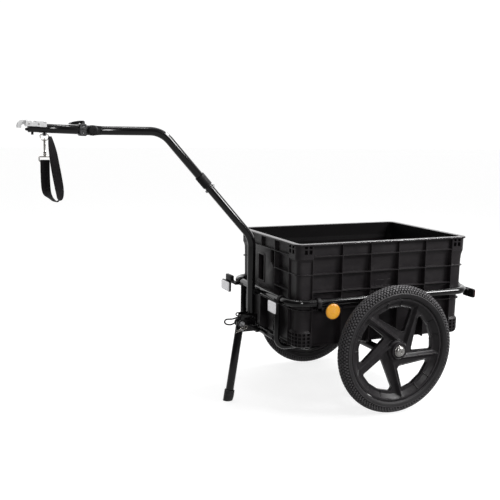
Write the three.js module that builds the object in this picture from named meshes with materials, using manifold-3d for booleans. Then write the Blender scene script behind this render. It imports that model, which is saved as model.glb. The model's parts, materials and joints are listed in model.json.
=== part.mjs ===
// Two-wheeled cargo bike trailer: plastic crate in a welded tube cradle, two
// moulded wheels, a fold-up stand leg and a high drawbar with a hook hitch.
// Millimetres, +Z up. The drawbar points along -X, the trailer's left is -Y,
// and the origin is on the floor, midway along and across the whole object.

import * as THREE from 'three';
import { mergeVertices } from 'three/addons/utils/BufferGeometryUtils.js';
import Module from 'manifold-3d';

const wasm = await Module();
wasm.setup();

// ---------------------------------------------------------------- dimensions
const ORIGIN_X = 349.47;            // axle line to the middle of the length
const GAP = 0.3;                   // air left between touching pieces

// crate, 610 x 431 mm over its lip
const CRATE_X = -1.5;              // crate centre along X
const CRATE_SIDE = 89.7;            // half length minus half width
const CRATE_BASE = 205;            // underside
const CRATE_TOP = 517;
const CRATE_R = 20;                // corner radius in plan; the lip's is 27
const LOW_R = 34;                  // and lower down, where the corners pass the rail
const RIB_HALF = 298;              // half length over the ribs
const RIB_ROWS = [478, 425, 318];   // heights of the horizontal ribs
const RIB_T = 3;

// frame tubes
const RAIL_R = 11, RAIL_WALL = 1.5, RAIL_Z = 345;
const RAIL_FRONT = -322, RAIL_REAR = 314, RAIL_Y = 220, RAIL_BEND = 55;
const CRADLE_R = 9, CRADLE_WALL = 1.5, CRADLE_Y = 128.5, CRADLE_Z = 195.6;
const CRADLE_FRONT = -324.5, CRADLE_REAR = 319, CRADLE_BENDS = [31, 27];
const CROSSBAR_R = 10, CROSSBAR_Z = 223;
const AXLE_BEAM_R = 12.5, AXLE_BEAM_Z = 173.6, AXLE_BEAM_Y = 225;

// wheels: 16 x 1.75 inch
const TYRE_R = 196, TYRE_SECTION = 23, WHEEL_Y = 277.4;
const RIM_R = 157.5, WINDOW_R = 131, HUB_R = 25;
const VALVE_ANGLE = 163 * Math.PI / 180;
const AXLE_R = 6;
const TYRE_SIDES = 36;             // facets of the tyre; one lies flat on the floor

// drawbar
const DRAWBAR_R = 12.5, DRAWBAR_WALL = 1.5, DRAWBAR_X = -354;
const DRAWBAR_FOOT = 229, BEND2 = [-354, 511], BEND1 = [-642, 833];
const BEND2_R = 70, BEND1_R = 80, COLLAR_AT = 0.5545;   // share of the slope from bend 2
const PIVOT = [-843, 833];         // hinge of the hitch arm
const ARM_TILT = 1.8 * Math.PI / 180;

// stand
const STAND_PIVOT = [-389.6, 245], STAND_FOOT = [-427.3, 0];
const LEG_R = 12.5, FOOT_R = 16, FOOT_H = 32, PIN_ORBIT = 17;

// ---------------------------------------------------------------- materials
const material = (colour, roughness, metalness) =>
  new THREE.MeshStandardMaterial({ color: colour, roughness, metalness });
const steelBlack = material(0x141416, 0.38, 0.35);
const crateBlack = material(0x19191b, 0.5, 0);
const wheelBlack = material(0x121214, 0.4, 0);
const tyreBlack = material(0x1b1b1c, 0.85, 0);
const rubberBlack = material(0x161616, 0.8, 0);
const plasticBlack = material(0x17171a, 0.45, 0);
const greyCast = material(0x4a4a4d, 0.45, 0.6);
const zinc = material(0xd9dadc, 0.25, 0.95);
const brightWire = material(0xc6c2b8, 0.3, 0.95);
const webbingBlack = material(0x1a181c, 0.95, 0);
const clearLens = material(0xe9e9ec, 0.15, 0.1);
const amberLens = material(0xf29a1c, 0.2, 0);
const redLens = material(0xb3121a, 0.2, 0);

// ---------------------------------------------------------------- shape tools
const V = (x, y, z) => new THREE.Vector3(x, y, z);

// closed geometry -> solid
function solid(geometry) {
  const g = geometry.clone();
  for (const name of Object.keys(g.attributes)) if (name !== 'position') g.deleteAttribute(name);
  const m = mergeVertices(g, 1e-4);
  const index = m.index.array, p = m.attributes.position.array;
  const tris = [];
  for (let i = 0; i < index.length; i += 3) {
    const [a, b, c] = [index[i], index[i + 1], index[i + 2]];
    if (a !== b && b !== c && a !== c) tris.push(a, b, c);
  }
  const make = t => new wasm.Manifold(new wasm.Mesh({
    numProp: 3, vertProperties: new Float32Array(p), triVerts: new Uint32Array(t) }));
  let body = make(tris);
  if (body.volume() < 0) {
    for (let i = 0; i < tris.length; i += 3) [tris[i], tris[i + 1]] = [tris[i + 1], tris[i]];
    body = make(tris);
  }
  return body;
}

function geometryOf(body) {
  const m = body.getMesh(), n = m.numProp, count = m.vertProperties.length / n;
  const p = new Float32Array(count * 3);
  for (let i = 0; i < count; i++) for (let k = 0; k < 3; k++) p[3 * i + k] = m.vertProperties[n * i + k];
  const g = new THREE.BufferGeometry();
  g.setAttribute('position', new THREE.BufferAttribute(p, 3));
  g.setIndex(new THREE.BufferAttribute(new Uint32Array(m.triVerts), 1));
  g.computeVertexNormals();
  return g;
}

const union = (...gs) => geometryOf(gs.map(solid).reduce((a, b) => a.add(b)));
const cut = (g, ...tools) => geometryOf(tools.map(solid).reduce((a, b) => a.subtract(b), solid(g)));
const common = (a, b) => geometryOf(solid(a).intersect(solid(b)));

function box(x0, x1, y0, y1, z0, z1) {
  return new THREE.BoxGeometry(x1 - x0, y1 - y0, z1 - z0)
    .translate((x0 + x1) / 2, (y0 + y1) / 2, (z0 + z1) / 2);
}

// cylinder between two points
function rod(a, b, r, sides = 16, r2 = r) {
  const d = b.clone().sub(a), g = new THREE.CylinderGeometry(r2, r, d.length(), sides);
  g.applyQuaternion(new THREE.Quaternion().setFromUnitVectors(V(0, 1, 0), d.clone().normalize()));
  return g.translate((a.x + b.x) / 2, (a.y + b.y) / 2, (a.z + b.z) / 2);
}
const rodY = (x, z, y0, y1, r, sides = 16, r2 = r) => rod(V(x, y0, z), V(x, y1, z), r, sides, r2);

// plate standing in the XZ plane: outline [[x, z], ...], holes as outlines
function plateXZ(outline, y0, y1, holes = []) {
  const shape = new THREE.Shape(outline.map(([x, z]) => new THREE.Vector2(x, z)));
  for (const h of holes) shape.holes.push(new THREE.Path(h.map(([x, z]) => new THREE.Vector2(x, z))));
  const g = new THREE.ExtrudeGeometry(shape, { depth: y1 - y0, bevelEnabled: false });
  return g.rotateX(Math.PI / 2).translate(0, y1, 0);   // shape Y -> Z, depth -> -Y
}
const disc = (x, z, r, sides = 24, from = 0, to = 2 * Math.PI) => {
  const pts = [];
  const open = Math.abs(to - from) < 6.28;
  for (let i = 0; i < sides + (open ? 1 : 0); i++) {
    const a = from + (to - from) * i / sides;
    pts.push([x + r * Math.cos(a), z + r * Math.sin(a)]);
  }
  return pts;
};

// solid of revolution about Y, profile [[r, y], ...] from axis to axis or closed
function turnY(profile, sides, x, z) {
  const g = new THREE.LatheGeometry(profile.map(([r, y]) => new THREE.Vector2(r, y)), sides);
  return g.translate(x, 0, z);
}

// a curve given by its own stations, so that straight runs need only two
class Stations extends THREE.Curve {
  constructor(points, tangents, normals) {
    super();
    this.points = points; this.tangents = tangents; this.normals = normals;
  }
  getSpacedPoints() { return this.points; }
  computeFrenetFrames() {
    const binormals = this.tangents.map((t, i) => t.clone().cross(this.normals[i]).normalize());
    return { tangents: this.tangents, normals: this.normals, binormals };
  }
}

// polyline with rounded corners -> stations
function rounded(corners, radii, steps = 5) {
  const pts = [corners[0]], tans = [corners[1].clone().sub(corners[0]).normalize()];
  for (let i = 1; i < corners.length - 1; i++) {
    const p = corners[i];
    const u = p.clone().sub(corners[i - 1]).normalize(), w = corners[i + 1].clone().sub(p).normalize();
    const r = Array.isArray(radii) ? radii[i - 1] : radii;
    const turn = u.angleTo(w), back = r * Math.tan(turn / 2);
    const start = p.clone().addScaledVector(u, -back);
    const inward = w.clone().sub(u.clone().multiplyScalar(u.dot(w))).normalize();
    const centre = start.clone().addScaledVector(inward, r);
    for (let k = 0; k <= steps; k++) {
      const a = turn * k / steps;
      pts.push(centre.clone().addScaledVector(inward, -r * Math.cos(a)).addScaledVector(u, r * Math.sin(a)));
      tans.push(u.clone().multiplyScalar(Math.cos(a)).addScaledVector(inward, Math.sin(a)));
    }
  }
  const n = corners.length;
  pts.push(corners[n - 1]); tans.push(corners[n - 1].clone().sub(corners[n - 2]).normalize());
  return { pts, tans };
}

function frames(tans, first) {
  const normals = [];
  let n = first.clone().addScaledVector(tans[0], -first.dot(tans[0])).normalize();
  for (const t of tans) {
    n = n.clone().addScaledVector(t, -n.dot(t)).normalize();
    normals.push(n);
  }
  return normals;
}

// round tube (or bar, when wall is 0) along stations
function tube({ pts, tans }, r, wall = 0, sides = 14, innerSides = 8, first = V(0, 1, 0)) {
  const ring = (radius, n) => Array.from({ length: n }, (_, i) =>
    new THREE.Vector2(radius * Math.cos(2 * Math.PI * i / n), radius * Math.sin(2 * Math.PI * i / n)));
  const shape = new THREE.Shape(ring(r, sides));
  if (wall) shape.holes.push(new THREE.Path(ring(r - wall, innerSides).reverse()));
  return new THREE.ExtrudeGeometry(shape, {
    steps: pts.length - 1, extrudePath: new Stations(pts, tans, frames(tans, first)) });
}

// flat band along stations, width across the given normals
function band(pts, widths, thickness) {
  const tans = pts.map((p, i) => pts[Math.min(i + 1, pts.length - 1)].clone()
    .sub(pts[Math.max(i - 1, 0)]).normalize());
  const normals = widths.map((w, i) => w.clone().addScaledVector(tans[i], -w.dot(tans[i])).normalize());
  const shape = new THREE.Shape([[-12.5, -1], [12.5, -1], [12.5, 1], [-12.5, 1]]
    .map(([x, y]) => new THREE.Vector2(x, y * thickness / 2)));
  return new THREE.ExtrudeGeometry(shape, {
    steps: pts.length - 1, extrudePath: new Stations(pts, tans, normals) });
}

// rounded rectangle lofted through levels [z, half length]
function crateLoft(levels, r, arc = 3) {
  const a = levels[0][1], b = a - CRATE_SIDE, outline = [];
  for (const [sx, sy, q] of [[1, 1, 0], [-1, 1, 1], [-1, -1, 2], [1, -1, 3]])
    for (let k = 0; k <= arc; k++) {
      const t = (q + k / arc) * Math.PI / 2;
      outline.push(new THREE.Vector2(sx * (a - r) + r * Math.cos(t), sy * (b - r) + r * Math.sin(t)));
    }
  const n = levels.length - 1;
  const g = new THREE.ExtrudeGeometry(new THREE.Shape(outline), { depth: n, steps: n, bevelEnabled: false });
  const p = g.attributes.position;
  for (let i = 0; i < p.count; i++) {
    const level = levels[Math.round(p.getZ(i))], d = level[1] - a;
    p.setXYZ(i, p.getX(i) + Math.sign(p.getX(i)) * d + CRATE_X, p.getY(i) + Math.sign(p.getY(i)) * d, level[0]);
  }
  return g;
}

const trailer = new THREE.Group();
trailer.position.x = ORIGIN_X;
function add(name, geometry, mat, parent = trailer) {
  const mesh = new THREE.Mesh(geometry, mat);
  mesh.name = name;
  parent.add(mesh);
  return mesh;
}

// ---------------------------------------------------------------- crate
{
  const shell = crateLoft([[CRATE_BASE, 275.5], [260, 278], [462, 283.2], [475, 289], [CRATE_TOP, 289]], CRATE_R);
  const inside = crateLoft([[CRATE_BASE + 3.5, 272], [258, 275], [462, 280.2], [475, 286],
    [CRATE_TOP + 5, 286.2]], CRATE_R - 3);
  const parts = [shell, crateLoft([[CRATE_TOP - 5.5, 305], [CRATE_TOP, 305]], 27),
    crateLoft([[CRATE_BASE, 279], [CRATE_BASE + 2.5, 279]], CRATE_R)];
  for (const z of RIB_ROWS)
    parts.push(crateLoft([[z - RIB_T / 2, RIB_HALF], [z + RIB_T / 2, RIB_HALF]], z < RAIL_Z ? LOW_R : CRATE_R));
  const half = RIB_HALF - CRATE_SIDE;
  for (const x of [-247.5, -148.5, -49.5, 49.5, 148.5, 247.5])
    parts.push(box(CRATE_X + x - 1.5, CRATE_X + x + 1.5, -half + 0.02, half - 0.02, CRATE_BASE + 0.05, 511.9));
  for (const y of [-148.5, -49.5, 49.5, 148.5])
    parts.push(box(CRATE_X - RIB_HALF + 0.02, CRATE_X + RIB_HALF - 0.02, y - 1.5, y + 1.5, CRATE_BASE + 0.05, 511.9));
  // corner columns stand out from the panels, and more so under the lip and at the foot
  const corners = (z0, z1, cx = 247.5, cy = 148.5) => {
    const quads = [];
    for (const sx of [-1, 1]) for (const sy of [-1, 1])
      quads.push(box(CRATE_X + Math.min(sx * cx, sx * 310), CRATE_X + Math.max(sx * cx, sx * 310),
        Math.min(sy * cy, sy * 225), Math.max(sy * cy, sy * 225), z0 - 1, z1 + 1));
    return union(...quads);
  };
  parts.push(cut(crateLoft([[370.5, RIB_HALF], [373.5, RIB_HALF]], CRATE_R), corners(366, 378)));
  parts.push(common(crateLoft([[CRATE_BASE, 290], [211, 296.8], [246, 296.8], [258, 290]], LOW_R), corners(CRATE_BASE, 258)));
  parts.push(common(crateLoft([[241, 291], [476, 293.5]], CRATE_R), corners(241, 476)));
  parts.push(common(crateLoft([[462, 293], [472, 299], [511.9, 299.5]], CRATE_R), corners(462, 511.9)));
  // raised frame on the front face, and the blind slot in it
  const xf = CRATE_X - RIB_HALF;
  const arch = new THREE.Shape([[-44, 325], [-44, 424], [-21, 440], [-21, 478], [109, 478], [109, 440], [132, 424], [132, 325]]
    .map(p => new THREE.Vector2(...p)));
  const frame = new THREE.ExtrudeGeometry(arch, { depth: 20, bevelEnabled: false });
  frame.applyMatrix4(new THREE.Matrix4().makeBasis(V(0, 1, 0), V(0, 0, 1), V(1, 0, 0))).translate(xf + 1, 0, 0);
  parts.push(frame);
  const pocket = box(-312, -285.2, 22.5, 65.3, 368, 452);
  // hollow under the floor, and inside the corner blocks from below
  const under = crateLoft([[CRATE_BASE - 2, 262], [CRATE_BASE + 0.9, 262]], CRATE_R - 6, 3);
  const groove = common(cut(crateLoft([[CRATE_BASE - 2, 286], [211, 293], [238.5, 293]], LOW_R - 4),
    crateLoft([[CRATE_BASE - 3, 281], [240, 281]], CRATE_R)), corners(CRATE_BASE - 3, 240, 250.5, 151.5));
  add('crate_box', cut(union(...parts), inside, under, groove, pocket), crateBlack);
}

// ---------------------------------------------------------------- frame
{
  // closed hoop around the crate with its butt seam in the middle of the rear
  const c = [V(RAIL_REAR, 0.2, RAIL_Z), V(RAIL_REAR, RAIL_Y, RAIL_Z), V(RAIL_FRONT, RAIL_Y, RAIL_Z),
    V(RAIL_FRONT, -RAIL_Y, RAIL_Z), V(RAIL_REAR, -RAIL_Y, RAIL_Z), V(RAIL_REAR, -0.2, RAIL_Z)];
  add('upper_rail', tube(rounded(c, RAIL_BEND, 4), RAIL_R, RAIL_WALL, 12, 6, V(0, 0, 1)), steelBlack);

  const top = RAIL_Z - RAIL_R - GAP;
  for (const [side, y] of [['left', -CRADLE_Y], ['right', CRADLE_Y]]) {
    const path = [V(CRADLE_FRONT, y, top), V(CRADLE_FRONT, y, CRADLE_Z), V(CRADLE_REAR, y, CRADLE_Z),
      V(CRADLE_REAR, y, top)];
    add('cradle_tube_' + side, tube(rounded(path, CRADLE_BENDS, 4), CRADLE_R, CRADLE_WALL, 12, 6), steelBlack);
  }
  const yb = CRADLE_Y - CRADLE_R - GAP;
  add('front_crossbar', tube(rounded([V(CRADLE_FRONT, -yb, CROSSBAR_Z), V(CRADLE_FRONT, yb, CROSSBAR_Z)], 1),
    CROSSBAR_R, 1.5, 12, 6, V(0, 0, 1)), steelBlack);
  add('axle_beam', tube(rounded([V(0, -AXLE_BEAM_Y, AXLE_BEAM_Z), V(0, AXLE_BEAM_Y, AXLE_BEAM_Z)], 1),
    AXLE_BEAM_R, 2, 12, 6, V(0, 0, 1)), steelBlack);
  // end plates with the threaded axle bosses
  for (const [side, s] of [['left', -1], ['right', 1]]) {
    const y0 = s * (AXLE_BEAM_Y + GAP), y1 = s * (AXLE_BEAM_Y + GAP + 5), yb2 = s * (WHEEL_Y - 31);
    const outline = [[-24, 160], [24, 160], [24, 176], ...disc(0, TYRE_R, 17, 8, 0.15, Math.PI - 0.15), [-24, 176]];
    const plate = plateXZ(outline, Math.min(y0, y1), Math.max(y0, y1));
    const boss = rodY(0, TYRE_R, Math.min(y1, yb2) - 0.5 * (s > 0), Math.max(y1, yb2) + 0.5 * (s < 0), 12.5, 16);
    const hole = rodY(0, TYRE_R, -400, 400, AXLE_R + GAP, 16);
    const half = s < 0 ? box(-50, 50, -400, 0, 0, 400) : box(-50, 50, 0, 400, 0, 400);
    add('axle_plate_' + side, cut(common(union(plate, boss), half), hole), steelBlack);
  }
}

// ---------------------------------------------------------------- wheels
for (const [side, s] of [['left', -1], ['right', 1]]) {
  // built for the left side about its own centre, outer face towards -Y
  const wheel = new THREE.Group();
  wheel.position.set(0, s * WHEEL_Y, TYRE_R);
  if (s > 0) wheel.rotation.z = Math.PI;
  trailer.add(wheel);

  // tyre: casing open towards the rim
  const profile = [], rc = TYRE_R - TYRE_SECTION, flat = 1 / Math.cos(Math.PI / TYRE_SIDES);
  for (let i = 0; i <= 8; i++) {
    const a = -0.78 + (Math.PI + 1.56) * i / 8;
    profile.push([rc + TYRE_SECTION * Math.sin(a), -TYRE_SECTION * Math.cos(a)]);
  }
  for (let i = 4; i >= 0; i--) {
    const a = -0.78 + (Math.PI + 1.56) * i / 4;
    profile.push([rc + (TYRE_SECTION - 4.5) * Math.sin(a), -(TYRE_SECTION - 4.5) * Math.cos(a)]);
  }
  profile.push(profile[0]);
  add(side + '_tyre', turnY(profile.map(([r, y]) => [r * flat, y]), TYRE_SIDES, 0, 0).rotateY(Math.PI / TYRE_SIDES),
    tyreBlack, wheel);

  // wheel: rim channel, thin web set back from the rim's face, five swept windows, a ridge along each spoke
  const rim = turnY([[WINDOW_R, -1.5], [138, -1.5], [150, -12], [151, -14.5], [RIM_R, -14.5], [RIM_R, -12.5], [149, -6], [149, 6],
    [RIM_R, 12.5], [RIM_R, 14.5], [151, 14.5], [142, 3.5], [WINDOW_R, 3.5], [WINDOW_R, -1.5]], 32, 0, 0);
  const web = plateXZ(disc(0, 0, WINDOW_R + 2, 32), -1.5, 3.5);
  const windows = [], ridges = [];
  const corner = [[9.5, -60.7], [14.5, -53.5], [110, -43.2], [118, -52], [95.5, -88.5], [62.5, -114.5], [29, -126.8]];
  for (let k = 0; k < 5; k++) {
    const a = k * 2 * Math.PI / 5, co = Math.cos(a), si = Math.sin(a);
    windows.push(plateXZ(corner.map(([x, z]) => [x * co - z * si, x * si + z * co]), -40, 40));
    const roof = new THREE.Shape([[-33.5, -1], [-25, -14], [-16.5, -1]].map(([z, y]) => new THREE.Vector2(y, z)));
    const ridge = new THREE.ExtrudeGeometry(roof, { depth: 126, bevelEnabled: false })
      .applyMatrix4(new THREE.Matrix4().makeBasis(V(0, 1, 0), V(0, 0, 1), V(1, 0, 0))).translate(22, 0, 0);
    ridges.push(ridge.rotateY(-a));
  }
  const hub = turnY([[0, -24], [HUB_R, -24], [HUB_R, -17], [HUB_R + 5, -11], [HUB_R + 5, 8], [20, 20], [20, 24],
    [0, 24]], 16, 0, 0);
  const bore = turnY([[0, -30], [14.3, -30], [14.3, -15.7], [10, -15.7], [10, 15.7], [14.3, 15.7], [14.3, 30],
    [0, 30]], 16, 0, 0);
  const spoke = r => V(r * Math.cos(VALVE_ANGLE), 1, r * Math.sin(VALVE_ANGLE));
  const valveHole = rod(spoke(WINDOW_R - 30), spoke(150), 3.7, 10);
  add(side + '_wheel', cut(union(cut(union(rim, web), ...windows), ...ridges, hub), bore, valveHole), wheelBlack, wheel);
  for (const [place, y] of [['outer', -23.7], ['inner', 15.9]]) {
    add(side + '_bearing_' + place, turnY([[AXLE_R + GAP, y], [14, y], [14, y + 7.8], [AXLE_R + GAP, y + 7.8],
      [AXLE_R + GAP, y]], 16, 0, 0), zinc, wheel);
  }
  // axle bolt with its domed head, and the valve stem
  add(side + '_axle_bolt', turnY([[0, -33.5], [8, -33], [13, -31], [15, -28], [15, -24.4], [AXLE_R, -24.4], [AXLE_R, 46],
    [0, 46]], 12, 0, 0), zinc, wheel);
  add(side + '_valve', union(rod(spoke(114), spoke(148.5), 3.2, 10), rod(spoke(109), spoke(114.5), 2.4, 10)), rubberBlack, wheel);
}

// ---------------------------------------------------------------- bracket and stand
{
  const [px, pz] = STAND_PIVOT;
  const leg = V(STAND_FOOT[0] - px, 0, STAND_FOOT[1] - pz).normalize();      // down the leg
  const pin = [px + PIN_ORBIT * leg.x, pz + PIN_ORBIT * leg.z];
  // each cheek ends in a nose that the lock pin travels round, with a holed tab above it
  const outline = [[-338, 220], [-338, 274], [-384, 277], ...disc(-393, 270, 6.5, 8, 1.2, 4.8),
    ...disc(px, pz, 13.5, 10, 1.815, 4.772), [-388.8, 220]];
  const holes = [disc(px, pz, 4.5, 10).reverse(), disc(-393, 270, 3.2, 10).reverse(),
    disc(DRAWBAR_X, 262, 4.5, 10).reverse()];
  const plates = [plateXZ(outline, -16, -13, holes), plateXZ(outline, 13, 16, holes)];
  const web = box(-341.2, -338, -14, 14, 222, 272);
  const pad = cut(box(-341, -326, -16, 16, 214, 232),
    rod(V(CRADLE_FRONT, -60, CROSSBAR_Z), V(CRADLE_FRONT, 60, CROSSBAR_Z), CROSSBAR_R + GAP, 18));
  add('drawbar_bracket', cut(union(...plates, web, pad), rodY(DRAWBAR_X, 240, -1, 1, 1, 6)), steelBlack);
  add('bracket_bolt', union(rodY(DRAWBAR_X, 262, -18, 22, 4, 10), rodY(DRAWBAR_X, 262, -21.5, -16.3, 7, 6)), steelBlack);

  // saddle between the rail and the drawbar
  add('rail_saddle', cut(box(-352, -324, -13, 13, 336, 354),
    rod(V(RAIL_FRONT, -60, RAIL_Z), V(RAIL_FRONT, 60, RAIL_Z), RAIL_R + GAP + 0.2, 20),
    rod(V(DRAWBAR_X, 0, 300), V(DRAWBAR_X, 0, 400), DRAWBAR_R + GAP + 0.2, 20)), steelBlack);

  // leg, hollow, crossed by the pivot bolt and the lock pin
  const P = (d) => V(px + leg.x * d, 0, pz + leg.z * d);
  const length = Math.hypot(STAND_FOOT[0] - px, STAND_FOOT[1] - pz);
  let legTube = tube({ pts: [P(-13), P(length - 9)], tans: [leg, leg] }, LEG_R, 1.6, 14, 8);
  legTube = cut(legTube, rodY(px, pz, -30, 30, 4.4, 14), rodY(pin[0], pin[1], -30, 30, 3.4, 12));
  add('stand_leg', legTube, steelBlack);
  // foot: rubber boot with a flat sole on the floor
  const boot = rod(P(length - FOOT_H - 1), P(length + 12), FOOT_R, 18);
  const sole = box(-500, -350, -40, 40, 0, 100);
  const socket = rod(P(length - 60), P(length - 8.6), LEG_R + GAP, 16);
  add('stand_foot', cut(common(boot, sole), socket), rubberBlack);
  add('stand_pivot_bolt', union(rodY(px, pz, -18, 23, 4, 10), rodY(px, pz, -21.5, -16.3, 6.8, 6)), zinc);
  add('stand_pivot_nut', cut(rodY(px, pz, 16.4, 21.5, 7.2, 6), rodY(px, pz, 10, 30, 4.4, 10)), zinc);
  add('lock_pin', cut(union(rodY(pin[0], pin[1], -28, 18, 3, 12), rodY(pin[0], pin[1], 16.4, 20, 5.5, 12)),
    rod(V(pin[0] - 6.6, -24, pin[1] - 2.0), V(pin[0] + 6.6, -24, pin[1] + 2.0), 1.5, 8)), zinc);

  // spring clip: straight wire through the pin, round eye, waved outer wire
  const dir = V(Math.cos(0.29), 0, Math.sin(0.29)), up = V(-dir.z, 0, dir.x);
  const Q = (a, b) => V(pin[0], -24, pin[1]).addScaledVector(dir, a).addScaledVector(up, b);
  const clip = [Q(-23, 0), Q(9, 0)];
  for (let i = 0; i <= 8; i++) {
    const a = -Math.PI / 2 + 1.55 * Math.PI * i / 8;
    clip.push(Q(14 + 5 * Math.cos(a), 5 + 5 * Math.sin(a)));
  }
  clip.push(Q(4.5, 6.6), Q(0, 7.2), Q(-7, 4.6), Q(-12, 4.4), Q(-18, 7.0));
  add('lock_clip', wire(clip, 1.1, 6), brightWire);
  // finger loop of black wire on the bracket's tab
  const L = (x, z, y = -19.3) => V(x, y, z);
  add('pull_ring', wire([L(-391, 272.5, -17.9), L(-398, 271.5), L(-410, 268), L(-425, 265), L(-437, 265.5), L(-446, 264.5),
    L(-449.5, 258.5), L(-446, 252), L(-437, 248.5), L(-427, 248), L(-416.5, 252), L(-408.5, 260.5), L(-400, 266.5),
    L(-393.5, 268, -17.9)], 1.7, 6), steelBlack);
}

// smooth round wire through points
function wire(points, r, sides = 6, count = 0) {
  const curve = new THREE.CatmullRomCurve3(points, false, 'centripetal');
  const n = count || points.length * 2 - 2, pts = [], tans = [];
  for (let i = 0; i <= n; i++) { pts.push(curve.getPoint(i / n)); tans.push(curve.getTangent(i / n)); }
  return tube({ pts, tans }, r, 0, sides, 0, Math.abs(tans[0].y) > 0.8 ? V(1, 0, 0) : V(0, 1, 0));
}

// ---------------------------------------------------------------- drawbar
const slope = V(BEND1[0] - BEND2[0], 0, BEND1[1] - BEND2[1]);
const slopeDir = slope.clone().normalize(), slopeUp = V(-slopeDir.z, 0, slopeDir.x);
const collarAt = V(BEND2[0], 0, BEND2[1]).addScaledVector(slope, COLLAR_AT);
{
  const across = slopeUp.clone().negate();
  const C = d => collarAt.clone().addScaledVector(slopeDir, d);
  let lower = tube(rounded([V(DRAWBAR_X, 0, DRAWBAR_FOOT), V(BEND2[0], 0, BEND2[1]), C(-0.2)], BEND2_R, 5),
    DRAWBAR_R, DRAWBAR_WALL, 14, 8);
  const b = C(-31.5), tool = rod(b.clone().addScaledVector(across, -30), b.clone().addScaledVector(across, 30), 2.9, 10);
  lower = cut(lower, tool, rodY(DRAWBAR_X, 262, -30, 30, 4.4, 12));
  add('lower_drawbar', lower, steelBlack);
  add('drawbar_collar', tube({ pts: [C(-20), C(20)], tans: Array(2).fill(slopeDir) },
    15.2, 2.35, 14, 14), plasticBlack);
  add('collar_bolt', union(
    rod(b.clone().addScaledVector(across, -17.5), b.clone().addScaledVector(across, 17.5), 2.5, 10),
    rod(b.clone().addScaledVector(across, 12.9), b.clone().addScaledVector(across, 15.9), 4.8, 12)), zinc);
  add('upper_drawbar', tube(rounded([C(0.2), V(BEND1[0], 0, BEND1[1]), V(PIVOT[0] + 25.3, 0, PIVOT[1])], BEND1_R, 5),
    DRAWBAR_R, DRAWBAR_WALL, 14, 8), steelBlack);
}

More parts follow.
